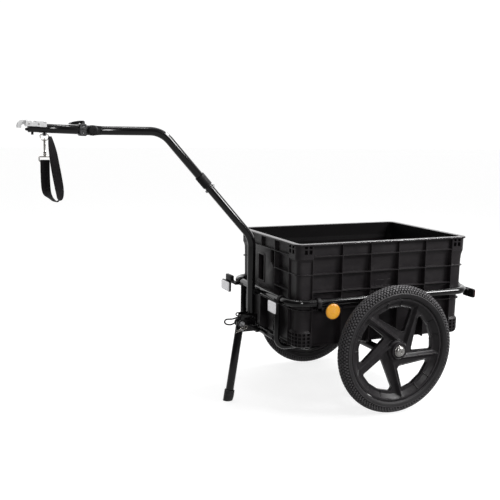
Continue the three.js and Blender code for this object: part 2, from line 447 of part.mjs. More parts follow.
// ---------------------------------------------------------------- hitch arm
{
  const [hx, hz] = PIVOT;
  // fork on the upper drawbar: two cheeks, a block and a plug inside the tube
  const cheek = (y0, y1) => plateXZ([...disc(hx, hz, 14.4, 12, Math.PI / 2, 1.5 * Math.PI),
    [hx + 18, hz - 12.3], [hx + 18, hz + 12.3]], y0, y1);
  const holeY = rodY(hx, hz, -40, 40, 4.4, 14);
  const block = box(hx + 15, hx + 25, -12.3, 12.3, hz - 12.3, hz + 12.3);
  const plug = rod(V(hx + 20, 0, hz), V(hx + 50, 0, hz), 10.1, 14);
  add('hinge_fork', cut(union(cheek(-12.3, -7.6), cheek(7.6, 12.3), block, plug), holeY), greyCast);
  add('hinge_bolt', union(rodY(hx, hz, -14, 19.5, 4, 12),
    turnY([[0, -22], [11, -21.4], [14.2, -19.6], [14.6, -17.5], [14.6, -15], [13.6, -12.7], [0, -12.7]], 18, hx, hz)), plasticBlack);
  add('hinge_nut', cut(rodY(hx, hz, 12.7, 18, 7.2, 6), rodY(hx, hz, 0, 30, 4.4, 10)), zinc);

  // everything forward of the hinge leans up by a small angle
  const arm = new THREE.Group();
  arm.position.set(hx, 0, hz);
  arm.rotation.y = ARM_TILT;
  trailer.add(arm);

  const tongue = plateXZ([...disc(0, 0, 13.2, 12, -Math.PI / 2, Math.PI / 2), [-16.5, 13.2], [-16.5, -13.2]], -7.3, 7.3);
  const clamp = plateXZ([[-15.4, -12], [-15.4, 12], [-19, 16.4], [-34, 16.4], [-37.2, 13], [-37.2, -13], [-34, -16.4],
    [-19, -16.4]], -15.4, 15.4);
  const ears = [plateXZ([[-29, 15.5], [-21, 15.5], [-21.5, 22], [-25, 25], [-28.5, 22]], -8.6, -5.6),
    plateXZ([[-29, 15.5], [-21, 15.5], [-21.5, 22], [-25, 25], [-28.5, 22]], 5.6, 8.6)];
  const peg = rodY(-25, 21.2, -9.4, 9.4, 2, 10);
  const spigot = rod(V(-30, 0, 0), V(-60, 0, 0), 10.1, 14);
  add('hinge_tongue', cut(union(tongue, clamp, ...ears, peg, spigot), rodY(0, 0, -40, 40, 4.4, 14)), greyCast, arm);
  // locking lever lying forward over the tube
  const leverShape = [...disc(-25, 21.2, 4.3, 8, -Math.PI / 2, Math.PI / 2), [-34, 25.2], [-48, 22.6], [-61, 18.4], [-64.5, 15.6],
    [-63, 14], [-58, 15.6], [-46, 18], [-36, 18.4], [-31, 16.9]];
  const lever = union(plateXZ(leverShape, -5.2, 5.2), plateXZ([[-37, 24.4], [-48, 22.6], [-61, 18.4], [-64.5, 15.6], [-63, 14],
    [-58, 15.6], [-46, 18], [-37, 18.4]], -8.5, 8.5));
  add('lock_lever', cut(lever, rodY(-25, 21.2, -20, 20, 2.3, 10)), steelBlack, arm);

  // front tube, its top half cut away under the hitch head
  const x1 = -124, x2 = -172;
  let front = tube(rounded([V(-37.6, 0, 0), V(x2, 0, 0)], 1), DRAWBAR_R, DRAWBAR_WALL, 14, 8, V(0, 0, 1));
  front = cut(front, box(x2 - 5, x1, -20, 20, 3.6, 30), box(-166.5, -143.5, -4.2, 4.2, -20, 0),
    rod(V(-129, 0, -20), V(-129, 0, -5), 2.9, 10));
  add('hitch_tube', front, steelBlack, arm);
  // cast hitch head: body over the tube end, hook with its throat, plunger guide
  const body = plateXZ([[-124.4, 4], [-124.4, 18.5], [-126.4, 20.5], [-176, 20.5], [-180, 17], [-180, 4]], -14, 14);
  const throat = disc(-183.8, 2.5, 6.2, 10, 0, Math.PI);
  const hook = plateXZ([[-170, 4], [-170, 20.5], [-184, 20.5], [-193, 18], [-199, 12], [-202, 5], [-201, -1.5],
    [-190, -1.5], ...throat.reverse(), [-177.6, 4]], -6, 6);
  const guide = box(-169, -141, -6.2, 6.2, -7.6, 6);
  const rail = rod(V(-180, 0, -4.5), V(-138, 0, -4.5), 4.3, 12);
  const travel = box(-165, -146.5, -3.9, 3.9, -12, -4);
  const sideSlots = [box(-162, -153, -20, -11.5, 14, 18), box(-137.5, -128.5, -20, -11.5, 14, 16.8),
    box(-162, -153, 11.5, 20, 14, 18), box(-137.5, -128.5, 11.5, 20, 14, 16.8)];
  add('hitch_head', cut(union(body, hook, guide), rail, travel, ...sideSlots), zinc, arm);
  // spring plunger that closes the throat, with its thumb stud
  add('latch_plunger', union(rod(V(-177, 0, -4.5), V(-141.5, 0, -4.5), 3.9, 12), rod(V(-179.5, 0, -4.5), V(-176.9, 0, -4.5), 2.6, 12, 3.9),
    rod(V(-160.6, 0, -4.5), V(-160.6, 0, -18.5), 3.4, 10)), plasticBlack, arm);
  // lug for the safety strap
  add('strap_lug', union(rod(V(-129, 0, -14.9), V(-129, 0, -9.4), 2.5, 10), box(-135, -123, -6, 6, -15.2, -12.9),
    cut(box(-132.5, -125.5, -3.5, 3.5, -20.5, -15), rod(V(-140, 0, -17.4), V(-115, 0, -17.4), 1.7, 10))), steelBlack, arm);

  // -------------------------------------------------------------- safety strap, hanging plumb
  const lug = V(-129, 0, -17.4).applyEuler(arm.rotation).add(arm.position);
  const dx = lug.x, dz = lug.z;
  {
    const path = rounded([V(dx + 0.2, 0, dz), V(dx + 12, 0, dz), V(dx + 9.5, 0, dz - 14.5), V(dx - 9.5, 0, dz - 14.5),
      V(dx - 12, 0, dz), V(dx - 0.2, 0, dz)], [2.6, 7, 7, 2.6], 3);
    add('d_ring', tube(path, 1.25, 0, 8, 0, V(0, 1, 0)), zinc);
  }
  // snap hook in the YZ plane: bight over the ring, shank, swivel ball
  const hz0 = dz - 14.5;
  const hook1 = tube(rounded([V(dx, -5.5, hz0 - 7.5), V(dx, -5.5, hz0 + 3.5), V(dx, 5.5, hz0 + 3.5), V(dx, 5.5, hz0 - 27), V(dx, 0, hz0 - 33)],
    [5.2, 5.2, 5], 4), 1.9, 0, 8, 0, V(1, 0, 0));
  const foot = turnZ([[0, -37], [3.6, -36.4], [4.2, -33], [3.2, -30.6], [0, -30.2]], 10, dx, 0, hz0);
  add('snap_hook', union(hook1, foot), brightWire);
  // sprung gate closing the hook's mouth
  add('snap_gate', union(rod(V(dx, -5.5, hz0 - 8.9), V(dx, -5.5, hz0 - 19), 1.7, 8),
    rod(V(dx, -5.5, hz0 - 18), V(dx, -0.8, hz0 - 27.2), 1.6, 8, 1.3)), brightWire);
  // swivel eye: socket above, long slot for the webbing below
  const ez = hz0 - 44.5;
  const eye = tube(rounded([V(dx + 0.2, 0, ez), V(dx + 15.5, 0, ez), V(dx + 15.5, 0, ez - 12), V(dx - 15.5, 0, ez - 12), V(dx - 15.5, 0, ez),
    V(dx - 0.2, 0, ez)], 3, 2), 1.6, 0, 8, 0, V(0, 1, 0));
  const neck = rod(V(dx, 0, ez - 1), V(dx, 0, hz0 - 37.4), 3.4, 10, 4.6);
  add('swivel_eye', union(eye, neck), brightWire);
  // webbing: sewn round the eye, down, round the bottom fold and back to the lug
  const xa = dx - 0.5;
  const pts = [
    [xa, -2.9, ez - 13], [xa, -2.6, ez - 24], [xa, -1, ez - 45], [xa + 0.5, 0, ez - 70], [xa + 1.5, -1, ez - 88],
    [xa + 4, -6, ez - 101], [xa + 12, -15, ez - 112], [xa + 22, -22, ez - 120], [xa + 32, -25, ez - 118],
    [xa + 34.5, -25, ez - 105], [xa + 33, -23, ez - 84], [xa + 29, -19, ez - 54], [xa + 24.5, -15, ez - 22], [xa + 21, -9.5, ez + 10],
    [xa + 17.5, -5, ez + 36], [xa + 15, -3, ez + 55]].map(p => V(...p));
  const side = [[1, 0, 0], [1, 0, 0], [1, 0, 0], [1, 0, 0.02], [1, 0.1, 0], [0.95, 0.35, 0], [0.75, 0.62, -0.2], [0.6, 0.75, -0.1],
    [0.62, 0.7, 0.3], [0.8, 0.5, 0.1], [0.97, 0.2, 0], [1, 0, 0], [1, 0.1, 0], [0.93, 0.37, 0], [0.75, 0.66, 0], [0.45, 0.89, 0]].map(p => V(...p));
  add('strap_webbing', band(pts, side, 2.4), webbingBlack);
}

function turnZ(profile, sides, x, y, z) {
  const g = new THREE.LatheGeometry(profile.map(([r, h]) => new THREE.Vector2(r, h)), sides);
  return g.rotateX(Math.PI / 2).translate(x, y, z);
}

// ---------------------------------------------------------------- reflectors
const CLAMP_IN = RAIL_R + 0.7, CLAMP_OUT = RAIL_R + 3.2;
function clampedRing(y, x, extra) {
  const body = union(rod(V(x, y - 6, RAIL_Z), V(x, y + 6, RAIL_Z), CLAMP_OUT, 12), ...extra);
  return cut(body, rod(V(x, y - 150, RAIL_Z), V(x, y + 150, RAIL_Z), CLAMP_IN, 12));
}
{
  const lensYZ = (x0, x1, y, z, w, h) => {
    const r = 4, o = [];
    for (const [sy, sz, q] of [[1, 1, 0], [-1, 1, 1], [-1, -1, 2], [1, -1, 3]])
      for (let k = 0; k <= 2; k++) {
        const t = (q + k / 2) * Math.PI / 2;
        o.push(new THREE.Vector2(sy * (w / 2 - r) + r * Math.cos(t), sz * (h / 2 - r) + r * Math.sin(t)));
      }
    const g = new THREE.ExtrudeGeometry(new THREE.Shape(o), { depth: x1 - x0, bevelEnabled: false });
    return g.applyMatrix4(new THREE.Matrix4().makeBasis(V(0, 1, 0), V(0, 0, 1), V(1, 0, 0))).translate(x0, y, z);
  };
  // front pair, white, on arms clamped to the rail; the right one has a tall arm
  for (const [side, ring, y, z, w, h] of [['left', -152, -145, 325, 50, 33], ['right', 152, 226, 319, 64, 30]]) {
    add('front_reflector_lens_' + side, lensYZ(-352.5, -347.5, y, z, w, h), clearLens);
    const backing = lensYZ(-347.2, -342, y, z, w + 4, h + 4);
    const lo = Math.min(ring - 6, y - 8), hi = Math.max(ring + 6, y + 8);
    const arm = box(-346, -331, lo, hi, 334.1, 342), stem = box(-346, -341.9, y - 8, y + 8, 325, 340);
    const extra = ring > 0 ? [box(-346, -334.5, 186, hi, 334.1, 358)] : [];
    add('front_reflector_bracket_' + side, clampedRing(ring, RAIL_FRONT, [backing, arm, stem, ...extra]), plasticBlack);
  }
  // rear pair, red, facing back
  for (const [side, s] of [['left', -1], ['right', 1]]) {
    const ring = s * 152, y = s * 187, z = 329;
    add('rear_reflector_lens_' + side, lensYZ(341.3, 346.2, y, z, 48, 24), redLens);
    const backing = lensYZ(335.8, 341, y, z, 52, 28);
    const lo = Math.min(ring - 6, y - 8), hi = Math.max(ring + 6, y + 8);
    const arm = box(326, 337, lo, hi, 334, 342);
    add('rear_reflector_bracket_' + side, clampedRing(ring, RAIL_REAR, [backing, arm]), plasticBlack);
  }
  // side pair, amber, round, each at the end of an arm; the ring is open towards the crate
  for (const [side, s] of [['left', -1], ['right', 1]]) {
    const x = -198, z = 320.5, xr = -237, y0 = s * (RAIL_Y + CLAMP_OUT + 0.2);
    const Y = d => y0 + s * d;
    const ringX = rod(V(xr - 6, s * RAIL_Y, RAIL_Z), V(xr + 6, s * RAIL_Y, RAIL_Z), CLAMP_OUT, 12);
    const dish = turnY([[0, 0], [24, 0], [26.5, 1.5], [26.5, 8.5], [24, 8.5], [23.6, 3.4], [0, 3.4]], 18, 0, 0);
    if (s < 0) dish.rotateX(Math.PI);
    dish.translate(x, Y(0), z);
    const slab = (x0, x1, z0, z1) => box(x0, x1, Math.min(Y(-3.5), Y(1)), Math.max(Y(-3.5), Y(1)), z0, z1);
    add('side_reflector_housing_' + side, cut(union(ringX, dish, slab(xr - 6, x + 6, 322, 332), slab(xr - 6, xr + 6, 322, 348)),
      rod(V(xr - 12, s * RAIL_Y, RAIL_Z), V(x + 12, s * RAIL_Y, RAIL_Z), CLAMP_IN, 12),
      box(xr - 8, xr + 8, Math.min(s * 190, s * 208.9), Math.max(s * 190, s * 208.9), 325, 365)), plasticBlack);
    const lens = turnY([[0, 0], [22.8, 0], [22.8, 5], [19, 6.6], [10, 7.6], [0, 7.9]], 18, 0, 0);
    if (s < 0) lens.rotateX(Math.PI);
    add('side_reflector_lens_' + side, lens.translate(x, Y(3.8), z), amberLens);
  }
}

export default trailer;
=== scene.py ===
import json
import math

import bmesh
import bpy
import numpy as np
from mathutils import Matrix, Vector
from mathutils.geometry import tessellate_polygon

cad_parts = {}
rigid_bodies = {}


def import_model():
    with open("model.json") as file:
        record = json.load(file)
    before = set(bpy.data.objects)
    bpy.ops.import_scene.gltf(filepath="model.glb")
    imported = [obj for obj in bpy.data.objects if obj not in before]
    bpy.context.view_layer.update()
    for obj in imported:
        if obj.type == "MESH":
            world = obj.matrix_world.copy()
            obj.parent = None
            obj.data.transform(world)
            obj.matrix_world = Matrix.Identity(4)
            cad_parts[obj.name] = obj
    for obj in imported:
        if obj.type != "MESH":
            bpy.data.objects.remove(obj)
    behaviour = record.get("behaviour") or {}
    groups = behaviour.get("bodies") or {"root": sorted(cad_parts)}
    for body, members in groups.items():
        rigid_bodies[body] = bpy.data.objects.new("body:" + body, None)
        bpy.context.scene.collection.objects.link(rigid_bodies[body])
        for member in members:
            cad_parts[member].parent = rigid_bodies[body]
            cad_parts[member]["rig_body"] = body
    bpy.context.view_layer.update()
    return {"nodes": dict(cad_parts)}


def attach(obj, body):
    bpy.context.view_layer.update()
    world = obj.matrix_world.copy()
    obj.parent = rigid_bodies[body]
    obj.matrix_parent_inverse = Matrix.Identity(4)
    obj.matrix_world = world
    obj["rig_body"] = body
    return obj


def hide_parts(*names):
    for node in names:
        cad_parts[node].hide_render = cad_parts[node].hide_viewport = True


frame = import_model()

# Lengths below are millimetres with x = 0 on the wheel axle, the drawbar along
# -x, the trailer's left along -y and z = 0 on the floor. W() takes them to the
# row frame in metres.
OX = 349.47
NODES = frame["nodes"]

scene = bpy.context.scene


def W(p):
    a = np.array(p, float).reshape(-1, 3).copy()
    a[:, 0] += OX
    return a * 0.001


# ------------------------------------------------------------------ shape tools
def merge(*parts):
    vs, fs, k = [], [], 0
    for v, f in parts:
        v = np.asarray(v, float).reshape(-1, 3)
        vs.append(v)
        fs += [tuple(i + k for i in q) for q in f]
        k += len(v)
    return np.concatenate(vs), fs


def unit(v):
    v = np.asarray(v, float)
    return v / np.linalg.norm(v)


def rounded(corners, radii, step=5.0):
    """Polyline with its corners rounded, as dense points."""
    c = [np.array(p, float) for p in corners]
    if not hasattr(radii, "__len__"):
        radii = [radii] * (len(c) - 2)
    pts = [c[0]]
    for i in range(1, len(c) - 1):
        u, w = unit(c[i] - c[i - 1]), unit(c[i + 1] - c[i])
        turn = math.acos(max(-1, min(1, float(u @ w))))
        r = radii[i - 1]
        start = c[i] - u * r * math.tan(turn / 2)
        inward = unit(w - u * (u @ w))
        centre = start + inward * r
        n = max(3, int(math.ceil(math.degrees(turn) / step)))
        for k in range(n + 1):
            a = turn * k / n
            pts.append(centre - inward * r * math.cos(a) + u * r * math.sin(a))
    pts.append(c[-1])
    return np.array(pts)


def spline(points, per=8):
    """Centripetal Catmull-Rom curve through the points."""
    p = np.array(points, float)
    p = np.vstack([2 * p[0] - p[1], p, 2 * p[-1] - p[-2]])
    out = []
    for i in range(1, len(p) - 2):
        p0, p1, p2, p3 = p[i - 1:i + 3]
        t0 = 0.0
        t1 = t0 + max(1e-6, np.linalg.norm(p1 - p0)) ** 0.5
        t2 = t1 + max(1e-6, np.linalg.norm(p2 - p1)) ** 0.5
        t3 = t2 + max(1e-6, np.linalg.norm(p3 - p2)) ** 0.5
        for k in range(per):
            t = t1 + (t2 - t1) * k / per
            a1 = (t1 - t) / (t1 - t0) * p0 + (t - t0) / (t1 - t0) * p1
            a2 = (t2 - t) / (t2 - t1) * p1 + (t - t1) / (t2 - t1) * p2
            a3 = (t3 - t) / (t3 - t2) * p2 + (t - t2) / (t3 - t2) * p3
            b1 = (t2 - t) / (t2 - t0) * a1 + (t - t0) / (t2 - t0) * a2
            b2 = (t3 - t) / (t3 - t1) * a2 + (t - t1) / (t3 - t1) * a3
            out.append((t2 - t) / (t2 - t1) * b1 + (t - t1) / (t2 - t1) * b2)
    out.append(p[-2])
    return np.array(out)


def tangents(P, closed=False):
    if closed:
        return np.array([unit(P[(i + 1) % len(P)] - P[i - 1]) for i in range(len(P))])
    t = np.gradient(P, axis=0)
    return t / np.linalg.norm(t, axis=1)[:, None]


def carried(P, first, closed=False):
    T = tangents(P, closed)
    n = np.array(first, float)
    N = []
    for t in T:
        n = n - t * (n @ t)
        n = unit(n)
        N.append(n)
    return T, np.array(N)


def grid_faces(rings, n, closed_u=True, closed_v=False):
    f = []
    for i in range(rings if closed_v else rings - 1):
        a, b = i * n, ((i + 1) % rings) * n
        for j in range(n if closed_u else n - 1):
            k = (j + 1) % n
            f.append((a + j, a + k, b + k, b + j))
    return f


def sweep(P, r, n=24, wall=0.0, closed=False, first=None, edge=0.5, squash=None):
    """Round bar or tube along P. r is one radius or one for each point."""
    P = np.array(P, float)
    r = np.full(len(P), float(r)) if not hasattr(r, "__len__") else np.array(r, float)
    if not closed and edge > 0:
        # rounded rims at both ends
        u0, u1 = unit(P[1] - P[0]), unit(P[-2] - P[-1])
        steps = [(0, edge), (0.3 * edge, 0.3 * edge), (edge, 0)]
        head = [(P[0] + u0 * s, r[0] - d) for s, d in steps]
        tail = [(P[-1] + u1 * s, r[-1] - d) for s, d in reversed(steps)]
        P = np.array([h[0] for h in head] + list(P[1:-1]) + [t[0] for t in tail])
        r = np.array([h[1] for h in head] + list(r[1:-1]) + [t[1] for t in tail])
    if first is None:
        d = unit(P[1] - P[0])
        first = [0, 1, 0] if abs(d[1]) < 0.8 else [0, 0, 1]
    T, N = carried(P, first, closed)
    B = np.cross(T, N)
    ang = np.linspace(0, 2 * math.pi, n, endpoint=False)
    ca, sa = np.cos(ang), np.sin(ang)
    if squash is not None:
        ca, sa = ca * squash[0], sa * squash[1]
    ring = lambda rr: (P[:, None, :] + rr[:, None, None] *
                       (ca[None, :, None] * N[:, None, :] + sa[None, :, None] * B[:, None, :]))
    m = len(P)
    v = ring(r).reshape(-1, 3)
    f = grid_faces(m, n, True, closed)
    if closed:
        return v, f
    if wall:
        inner = ring(np.maximum(r - wall, 0.2)).reshape(-1, 3)
        k = m * n
        f += [tuple(reversed([i + k for i in q])) for q in grid_faces(m, n)]
        for j in range(n):
            q = (j + 1) % n
            f.append((q, j, k + j, k + q))
            a = (m - 1) * n
            f.append((a + j, a + q, k + a + q, k + a + j))
        return np.concatenate([v, inner]), f
    f.append(tuple(reversed(range(n))))
    f.append(tuple(range((m - 1) * n, m * n)))
    return v, f


def ball_ends(P, r, n=4):
    """Adds rounded tips to a bar's points and radii."""
    P = np.array(P, float)
    r = np.full(len(P), float(r)) if not hasattr(r, "__len__") else np.array(r, float)
    u0, u1 = unit(P[1] - P[0]), unit(P[-2] - P[-1])
    head, hr, tail, tr = [], [], [], []
    for k in range(n):
        a = math.pi / 2 * k / n
        head.append(P[0] + u0 * r[0] * (1 - math.cos(math.pi / 2 - a)) * 0.999)
        hr.append(max(0.12, r[0] * math.sin(a) if k else 0.12))
        tail.append(P[-1] + u1 * r[-1] * (1 - math.cos(math.pi / 2 - a)) * 0.999)
        tr.append(max(0.12, r[-1] * math.sin(a) if k else 0.12))
    return (np.array(head + [P[0] + u0 * r[0]] + list(P[1:-1]) + [P[-1] + u1 * r[-1]] + tail[::-1]),
            np.array(hr + [r[0]] + list(r[1:-1]) + [r[-1]] + tr[::-1]))


def lathe(profile, n, origin, axis, closed=False, rfun=None):
    """Profile [(radius, height along the axis), ...] turned about the axis."""
    w = unit(axis)
    ref = np.array([0, 0, 1.0]) if abs(w[2]) < 0.9 else np.array([1.0, 0, 0])
    u = unit(np.cross(ref, w))
    t = np.cross(w, u)
    o = np.array(origin, float)
    ang = np.linspace(0, 2 * math.pi, n, endpoint=False)
    v, rows, f = [], [], []
    for i, (r, h) in enumerate(profile):
        if r < 1e-6 and not closed:
            rows.append([len(v)])
            v.append(o + w * h)
        else:
            rows.append(list(range(len(v), len(v) + n)))
            for a in ang:
                rr = r * (rfun(a, r, h) if rfun else 1.0)
                v.append(o + w * h + rr * (math.cos(a) * u + math.sin(a) * t))
    m = len(rows)
    for i in range(m if closed else m - 1):
        a, b = rows[i], rows[(i + 1) % m]
        for j in range(n):
            k = (j + 1) % n
            if len(a) == 1 and len(b) == 1:
                continue
            if len(a) == 1:
                f.append((a[0], b[k], b[j]))
            elif len(b) == 1:
                f.append((a[j], a[k], b[0]))
            else:
                f.append((a[j], a[k], b[k], b[j]))
    return np.array(v), f


def inset(poly, d):
    """Outline moved inwards by d (for a hole, pass its points in the other sense)."""
    p = np.array(poly, float)
    area = 0.5 * np.sum(p[:, 0] * np.roll(p[:, 1], -1) - np.roll(p[:, 0], -1) * p[:, 1])
    s = 1 if area > 0 else -1
    out = []
    for i in range(len(p)):
        a, b, c = p[i - 1], p[i], p[(i + 1) % len(p)]
        u, w = unit(b - a), unit(c - b)
        n1, n2 = np.array([-u[1], u[0]]) * s, np.array([-w[1], w[0]]) * s
        m = n1 + n2
        k = max(0.35, float(m @ m) / 2)
        out.append(b + m / k * d)
    return np.array(out)


def plate(outline, depth0, depth1, holes=(), bevel=0.6, basis=None, steps=2):
    """Flat plate with rounded edges. The outline is [(a, b)], and basis takes
    (a, b, depth) to x, y, z: by default a is x, b is z and depth is y."""
    if basis is None:
        basis = ([1, 0, 0], [0, 0, 1], [0, 1, 0])
    A, B, C = (np.array(x, float) for x in basis)
    loops = [np.array(outline, float)] + [np.array(h, float) for h in holes]
    ks = []
    for i in range(steps + 1):
        a = math.pi / 2 * i / steps
        ks.append((bevel * (1 - math.sin(a)), bevel * (1 - math.cos(a))))     # inset, depth
    levels = [(d, depth0 + z) for d, z in ks] + [(d, depth1 - z) for d, z in reversed(ks)]
    v, f, starts = [], [], []
    for li, loop in enumerate(loops):
        n = len(loop)
        base = len(v)
        starts.append((base, n))
        for d, z in levels:
            pts = inset(loop, d if li == 0 else -d)
            v += [A * p[0] + B * p[1] + C * z for p in pts]
        for i in range(len(levels) - 1):
            for j in range(n):
                k = (j + 1) % n
                a, b = base + i * n, base + (i + 1) * n
                f.append((a + j, a + k, b + k, b + j))
    for level in (0, len(levels) - 1):
        polys, ids = [], []
        for (base, n), loop in zip(starts, loops):
            idx = [base + level * n + j for j in range(n)]
            polys.append([Vector((float(v[i] @ A), float(v[i] @ B), 0)) for i in idx])
            ids += idx
        for t in tessellate_polygon(polys):
            f.append(tuple(ids[i] for i in t))
    return np.array(v), f


def arc(cx, cy, r, a0=0.0, a1=360.0, n=32):
    full = abs(a1 - a0) >= 360
    k = np.radians(np.linspace(a0, a1, n, endpoint=not full))
    return [(cx + r * math.cos(a), cy + r * math.sin(a)) for a in k]


def soften(poly, r, n=4):
    """Outline with its corners rounded by r, or by one radius for each corner."""
    p = np.array(poly, float)
    out = []
    for i in range(len(p)):
        rr = r[i] if hasattr(r, "__len__") else r
        a, b, c = p[i - 1], p[i], p[(i + 1) % len(p)]
        u, w = unit(b - a), unit(c - b)
        turn = math.acos(max(-1, min(1, float(u @ w))))
        t = rr * math.tan(turn / 2)
        lim = 0.48 * min(np.linalg.norm(b - a), np.linalg.norm(c - b))
        if turn < 0.05 or rr <= 0:
            out.append(tuple(b))
            continue
        if t > lim:
            rr, t = rr * lim / t, lim
        s = b - u * t
        inward = unit(w - u * float(u @ w))
        q = s + inward * rr
        for k in range(n + 1):
            ang = turn * k / n
            out.append(tuple(q - inward * rr * math.cos(ang) + u * rr * math.sin(ang)))
    return out


def rbox(x0, x1, y0, y1, z0, z1, b=0.6, seg=2):
    """Box with rounded edges."""
    bm = bmesh.new()
    bmesh.ops.create_cube(bm, size=1.0)
    for q in bm.verts:
        q.co = Vector(((x0 + x1) / 2 + q.co.x * (x1 - x0), (y0 + y1) / 2 + q.co.y * (y1 - y0),
                       (z0 + z1) / 2 + q.co.z * (z1 - z0)))
    bmesh.ops.bevel(bm, geom=bm.edges[:], offset=b, segments=seg, affect="EDGES", profile=0.5)
    bm.verts.index_update()
    v = np.array([tuple(q.co) for q in bm.verts])
    f = [tuple(q.index for q in face.verts) for face in bm.faces]
    bm.free()
    return v, f


def turned(part, about, axis, degrees):
    """A part turned about an axis through a point."""
    v, f = part
    R = np.array(Matrix.Rotation(math.radians(degrees), 3, Vector(axis)))
    o = np.array(about, float)
    return (np.asarray(v) - o) @ R.T + o, f


def mapped(part, fun):
    v, f = part
    return np.array(fun(np.asarray(v, float))), f


def hexagon(across, h0, h1, origin, axis, dish=0.0):
    """Hexagon bolt head or nut with chamfered corners."""
    r = across / math.sqrt(3)
    prof = [(0, h0), (r * 0.84, h0), (r * 0.98, h0 + 0.06 * across), (r, h0 + 0.1 * across), (r, h1 - 0.1 * across),
            (r * 0.98, h1 - 0.06 * across), (r * 0.84, h1), (r * 0.55, h1 - dish), (0, h1 - dish)]

    def hexa(a, rr, h):
        k = (a + math.pi / 6) % (math.pi / 3) - math.pi / 6
        face = math.cos(math.pi / 6) / math.cos(k)
        return face if rr > r * 0.9 else 1.0 if rr < r * 0.8 else min(1.0, face * 1.1)
    return lathe(prof, 48, origin, axis, rfun=hexa)


# ------------------------------------------------------------------ moulded shapes
def hyp(a, b):
    return np.sqrt(a * a + b * b)


def smin(a, b, k):
    h = np.maximum(k - np.abs(a - b), 0) / k
    return np.minimum(a, b) - h * h * k * 0.25


def smax(a, b, k):
    return -smin(-a, -b, k)


def sd_poly(px, pz, poly):
    poly = np.asarray(poly, float)
    d = np.full(px.shape, 1e18)
    s = np.ones(px.shape)
    n = len(poly)
    for i in range(n):
        ax, az = poly[i]
        bx, bz = poly[i - 1]
        ex, ez = bx - ax, bz - az
        wx, wz = px - ax, pz - az
        t = np.clip((wx * ex + wz * ez) / (ex * ex + ez * ez), 0, 1)
        d = np.minimum(d, (wx - ex * t) ** 2 + (wz - ez * t) ** 2)
        c1, c2, c3 = pz >= az, pz < bz, ex * wz > ez * wx
        s = np.where((c1 & c2 & c3) | (~c1 & ~c2 & ~c3), -s, s)
    return s * np.sqrt(d)


def prism(d2, h, h0, h1, edge=0.0):
    """A flat outline's distance given thickness h0..h1, edges rounded."""
    w = np.abs(h - (h0 + h1) / 2) - (h1 - h0) / 2
    a, b = d2 + edge, w + edge
    return np.minimum(np.maximum(a, b), 0) + hyp(np.maximum(a, 0), np.maximum(b, 0)) - edge


def box3(x, y, z, x0, x1, y0, y1, z0, z1, edge=0.0):
    a = np.abs(x - (x0 + x1) / 2) - (x1 - x0) / 2 + edge
    b = np.abs(y - (y0 + y1) / 2) - (y1 - y0) / 2 + edge
    c = np.abs(z - (z0 + z1) / 2) - (z1 - z0) / 2 + edge
    out = np.sqrt(np.maximum(a, 0) ** 2 + np.maximum(b, 0) ** 2 + np.maximum(c, 0) ** 2)
    return out + np.minimum(np.maximum(np.maximum(a, b), c), 0) - edge


def skin(f, lo, hi, h, rounds=3):
    """Closed quad skin of f(x, y, z) < 0."""
    lo, hi = np.array(lo, float), np.array(hi, float)
    n = np.ceil((hi - lo) / h).astype(int) + 1
    xs, ys, zs = (lo[i] + h * np.arange(n[i]) for i in range(3))
    S = np.empty(tuple(n), np.float32)
    block = max(1, int(4e5 // (n[1] * n[2])))
    for i in range(0, n[0], block):
        X, Y, Z = np.meshgrid(xs[i:i + block], ys, zs, indexing="ij")
        S[i:i + block] = f(X, Y, Z)
    inside = S < 0
    count = np.zeros(tuple(n - 1), np.int8)
    for a in (0, 1):
        for b in (0, 1):
            for c in (0, 1):
                count += inside[a:n[0] - 1 + a, b:n[1] - 1 + b, c:n[2] - 1 + c]
    I, J, K = np.nonzero((count > 0) & (count < 8))
    idx = np.full(tuple(n - 1), -1, np.int64)
    idx[I, J, K] = np.arange(len(I))
    acc, num = np.zeros((len(I), 3)), np.zeros(len(I))
    corners = [(a, b, c) for a in (0, 1) for b in (0, 1) for c in (0, 1)]
    for p in corners:
        for q in corners:
            if sum(abs(p[i] - q[i]) for i in range(3)) == 1 and p < q:
                sp = S[I + p[0], J + p[1], K + p[2]].astype(float)
                sq = S[I + q[0], J + q[1], K + q[2]].astype(float)
                cross = (sp < 0) != (sq < 0)
                t = np.where(cross, sp / np.where(cross, sp - sq, 1), 0)
                pos = np.array(p)[None] + (np.array(q) - np.array(p))[None] * t[:, None]
                acc += np.where(cross[:, None], pos, 0)
                num += cross
    V = np.stack([I, J, K], 1) + acc / num[:, None]
    V = lo + V * h
    F = []
    for ax in range(3):
        o = [i for i in range(3) if i != ax]
        sl0 = [slice(1, n[i] - 1) for i in range(3)]
        sl1 = list(sl0)
        sl0[ax], sl1[ax] = slice(0, n[ax] - 1), slice(1, n[ax])
        a, b = inside[tuple(sl0)], inside[tuple(sl1)]
        for sense in (0, 1):
            hit = np.nonzero((a & ~b) if sense == 0 else (~a & b))
            g = [hit[0].copy(), hit[1].copy(), hit[2].copy()]
            for i in o:
                g[i] = g[i] + 1
            def cell(d1, d2):
                q = [g[0], g[1], g[2]]
                q[o[0]] = q[o[0]] - 1 + d1
                q[o[1]] = q[o[1]] - 1 + d2
                return idx[q[0], q[1], q[2]]
            quad = np.stack([cell(0, 0), cell(1, 0), cell(1, 1), cell(0, 1)], 1)
            flip = (sense == 1) != (ax == 1)
            F.append(quad[:, ::-1] if flip else quad)
    F = np.concatenate(F)
    e = 0.08 * h
    for _ in range(rounds):
        s = f(V[:, 0], V[:, 1], V[:, 2])
        g = np.empty_like(V)
        for i in range(3):
            d = np.zeros(3)
            d[i] = e
            g[:, i] = (f(*(V + d).T) - f(*(V - d).T)) / (2 * e)
        m = np.maximum((g ** 2).sum(1), 0.25)
        V = V - np.clip(s / m, -0.5 * h, 0.5 * h)[:, None] * g
    return V, [tuple(int(i) for i in q) for q in F]


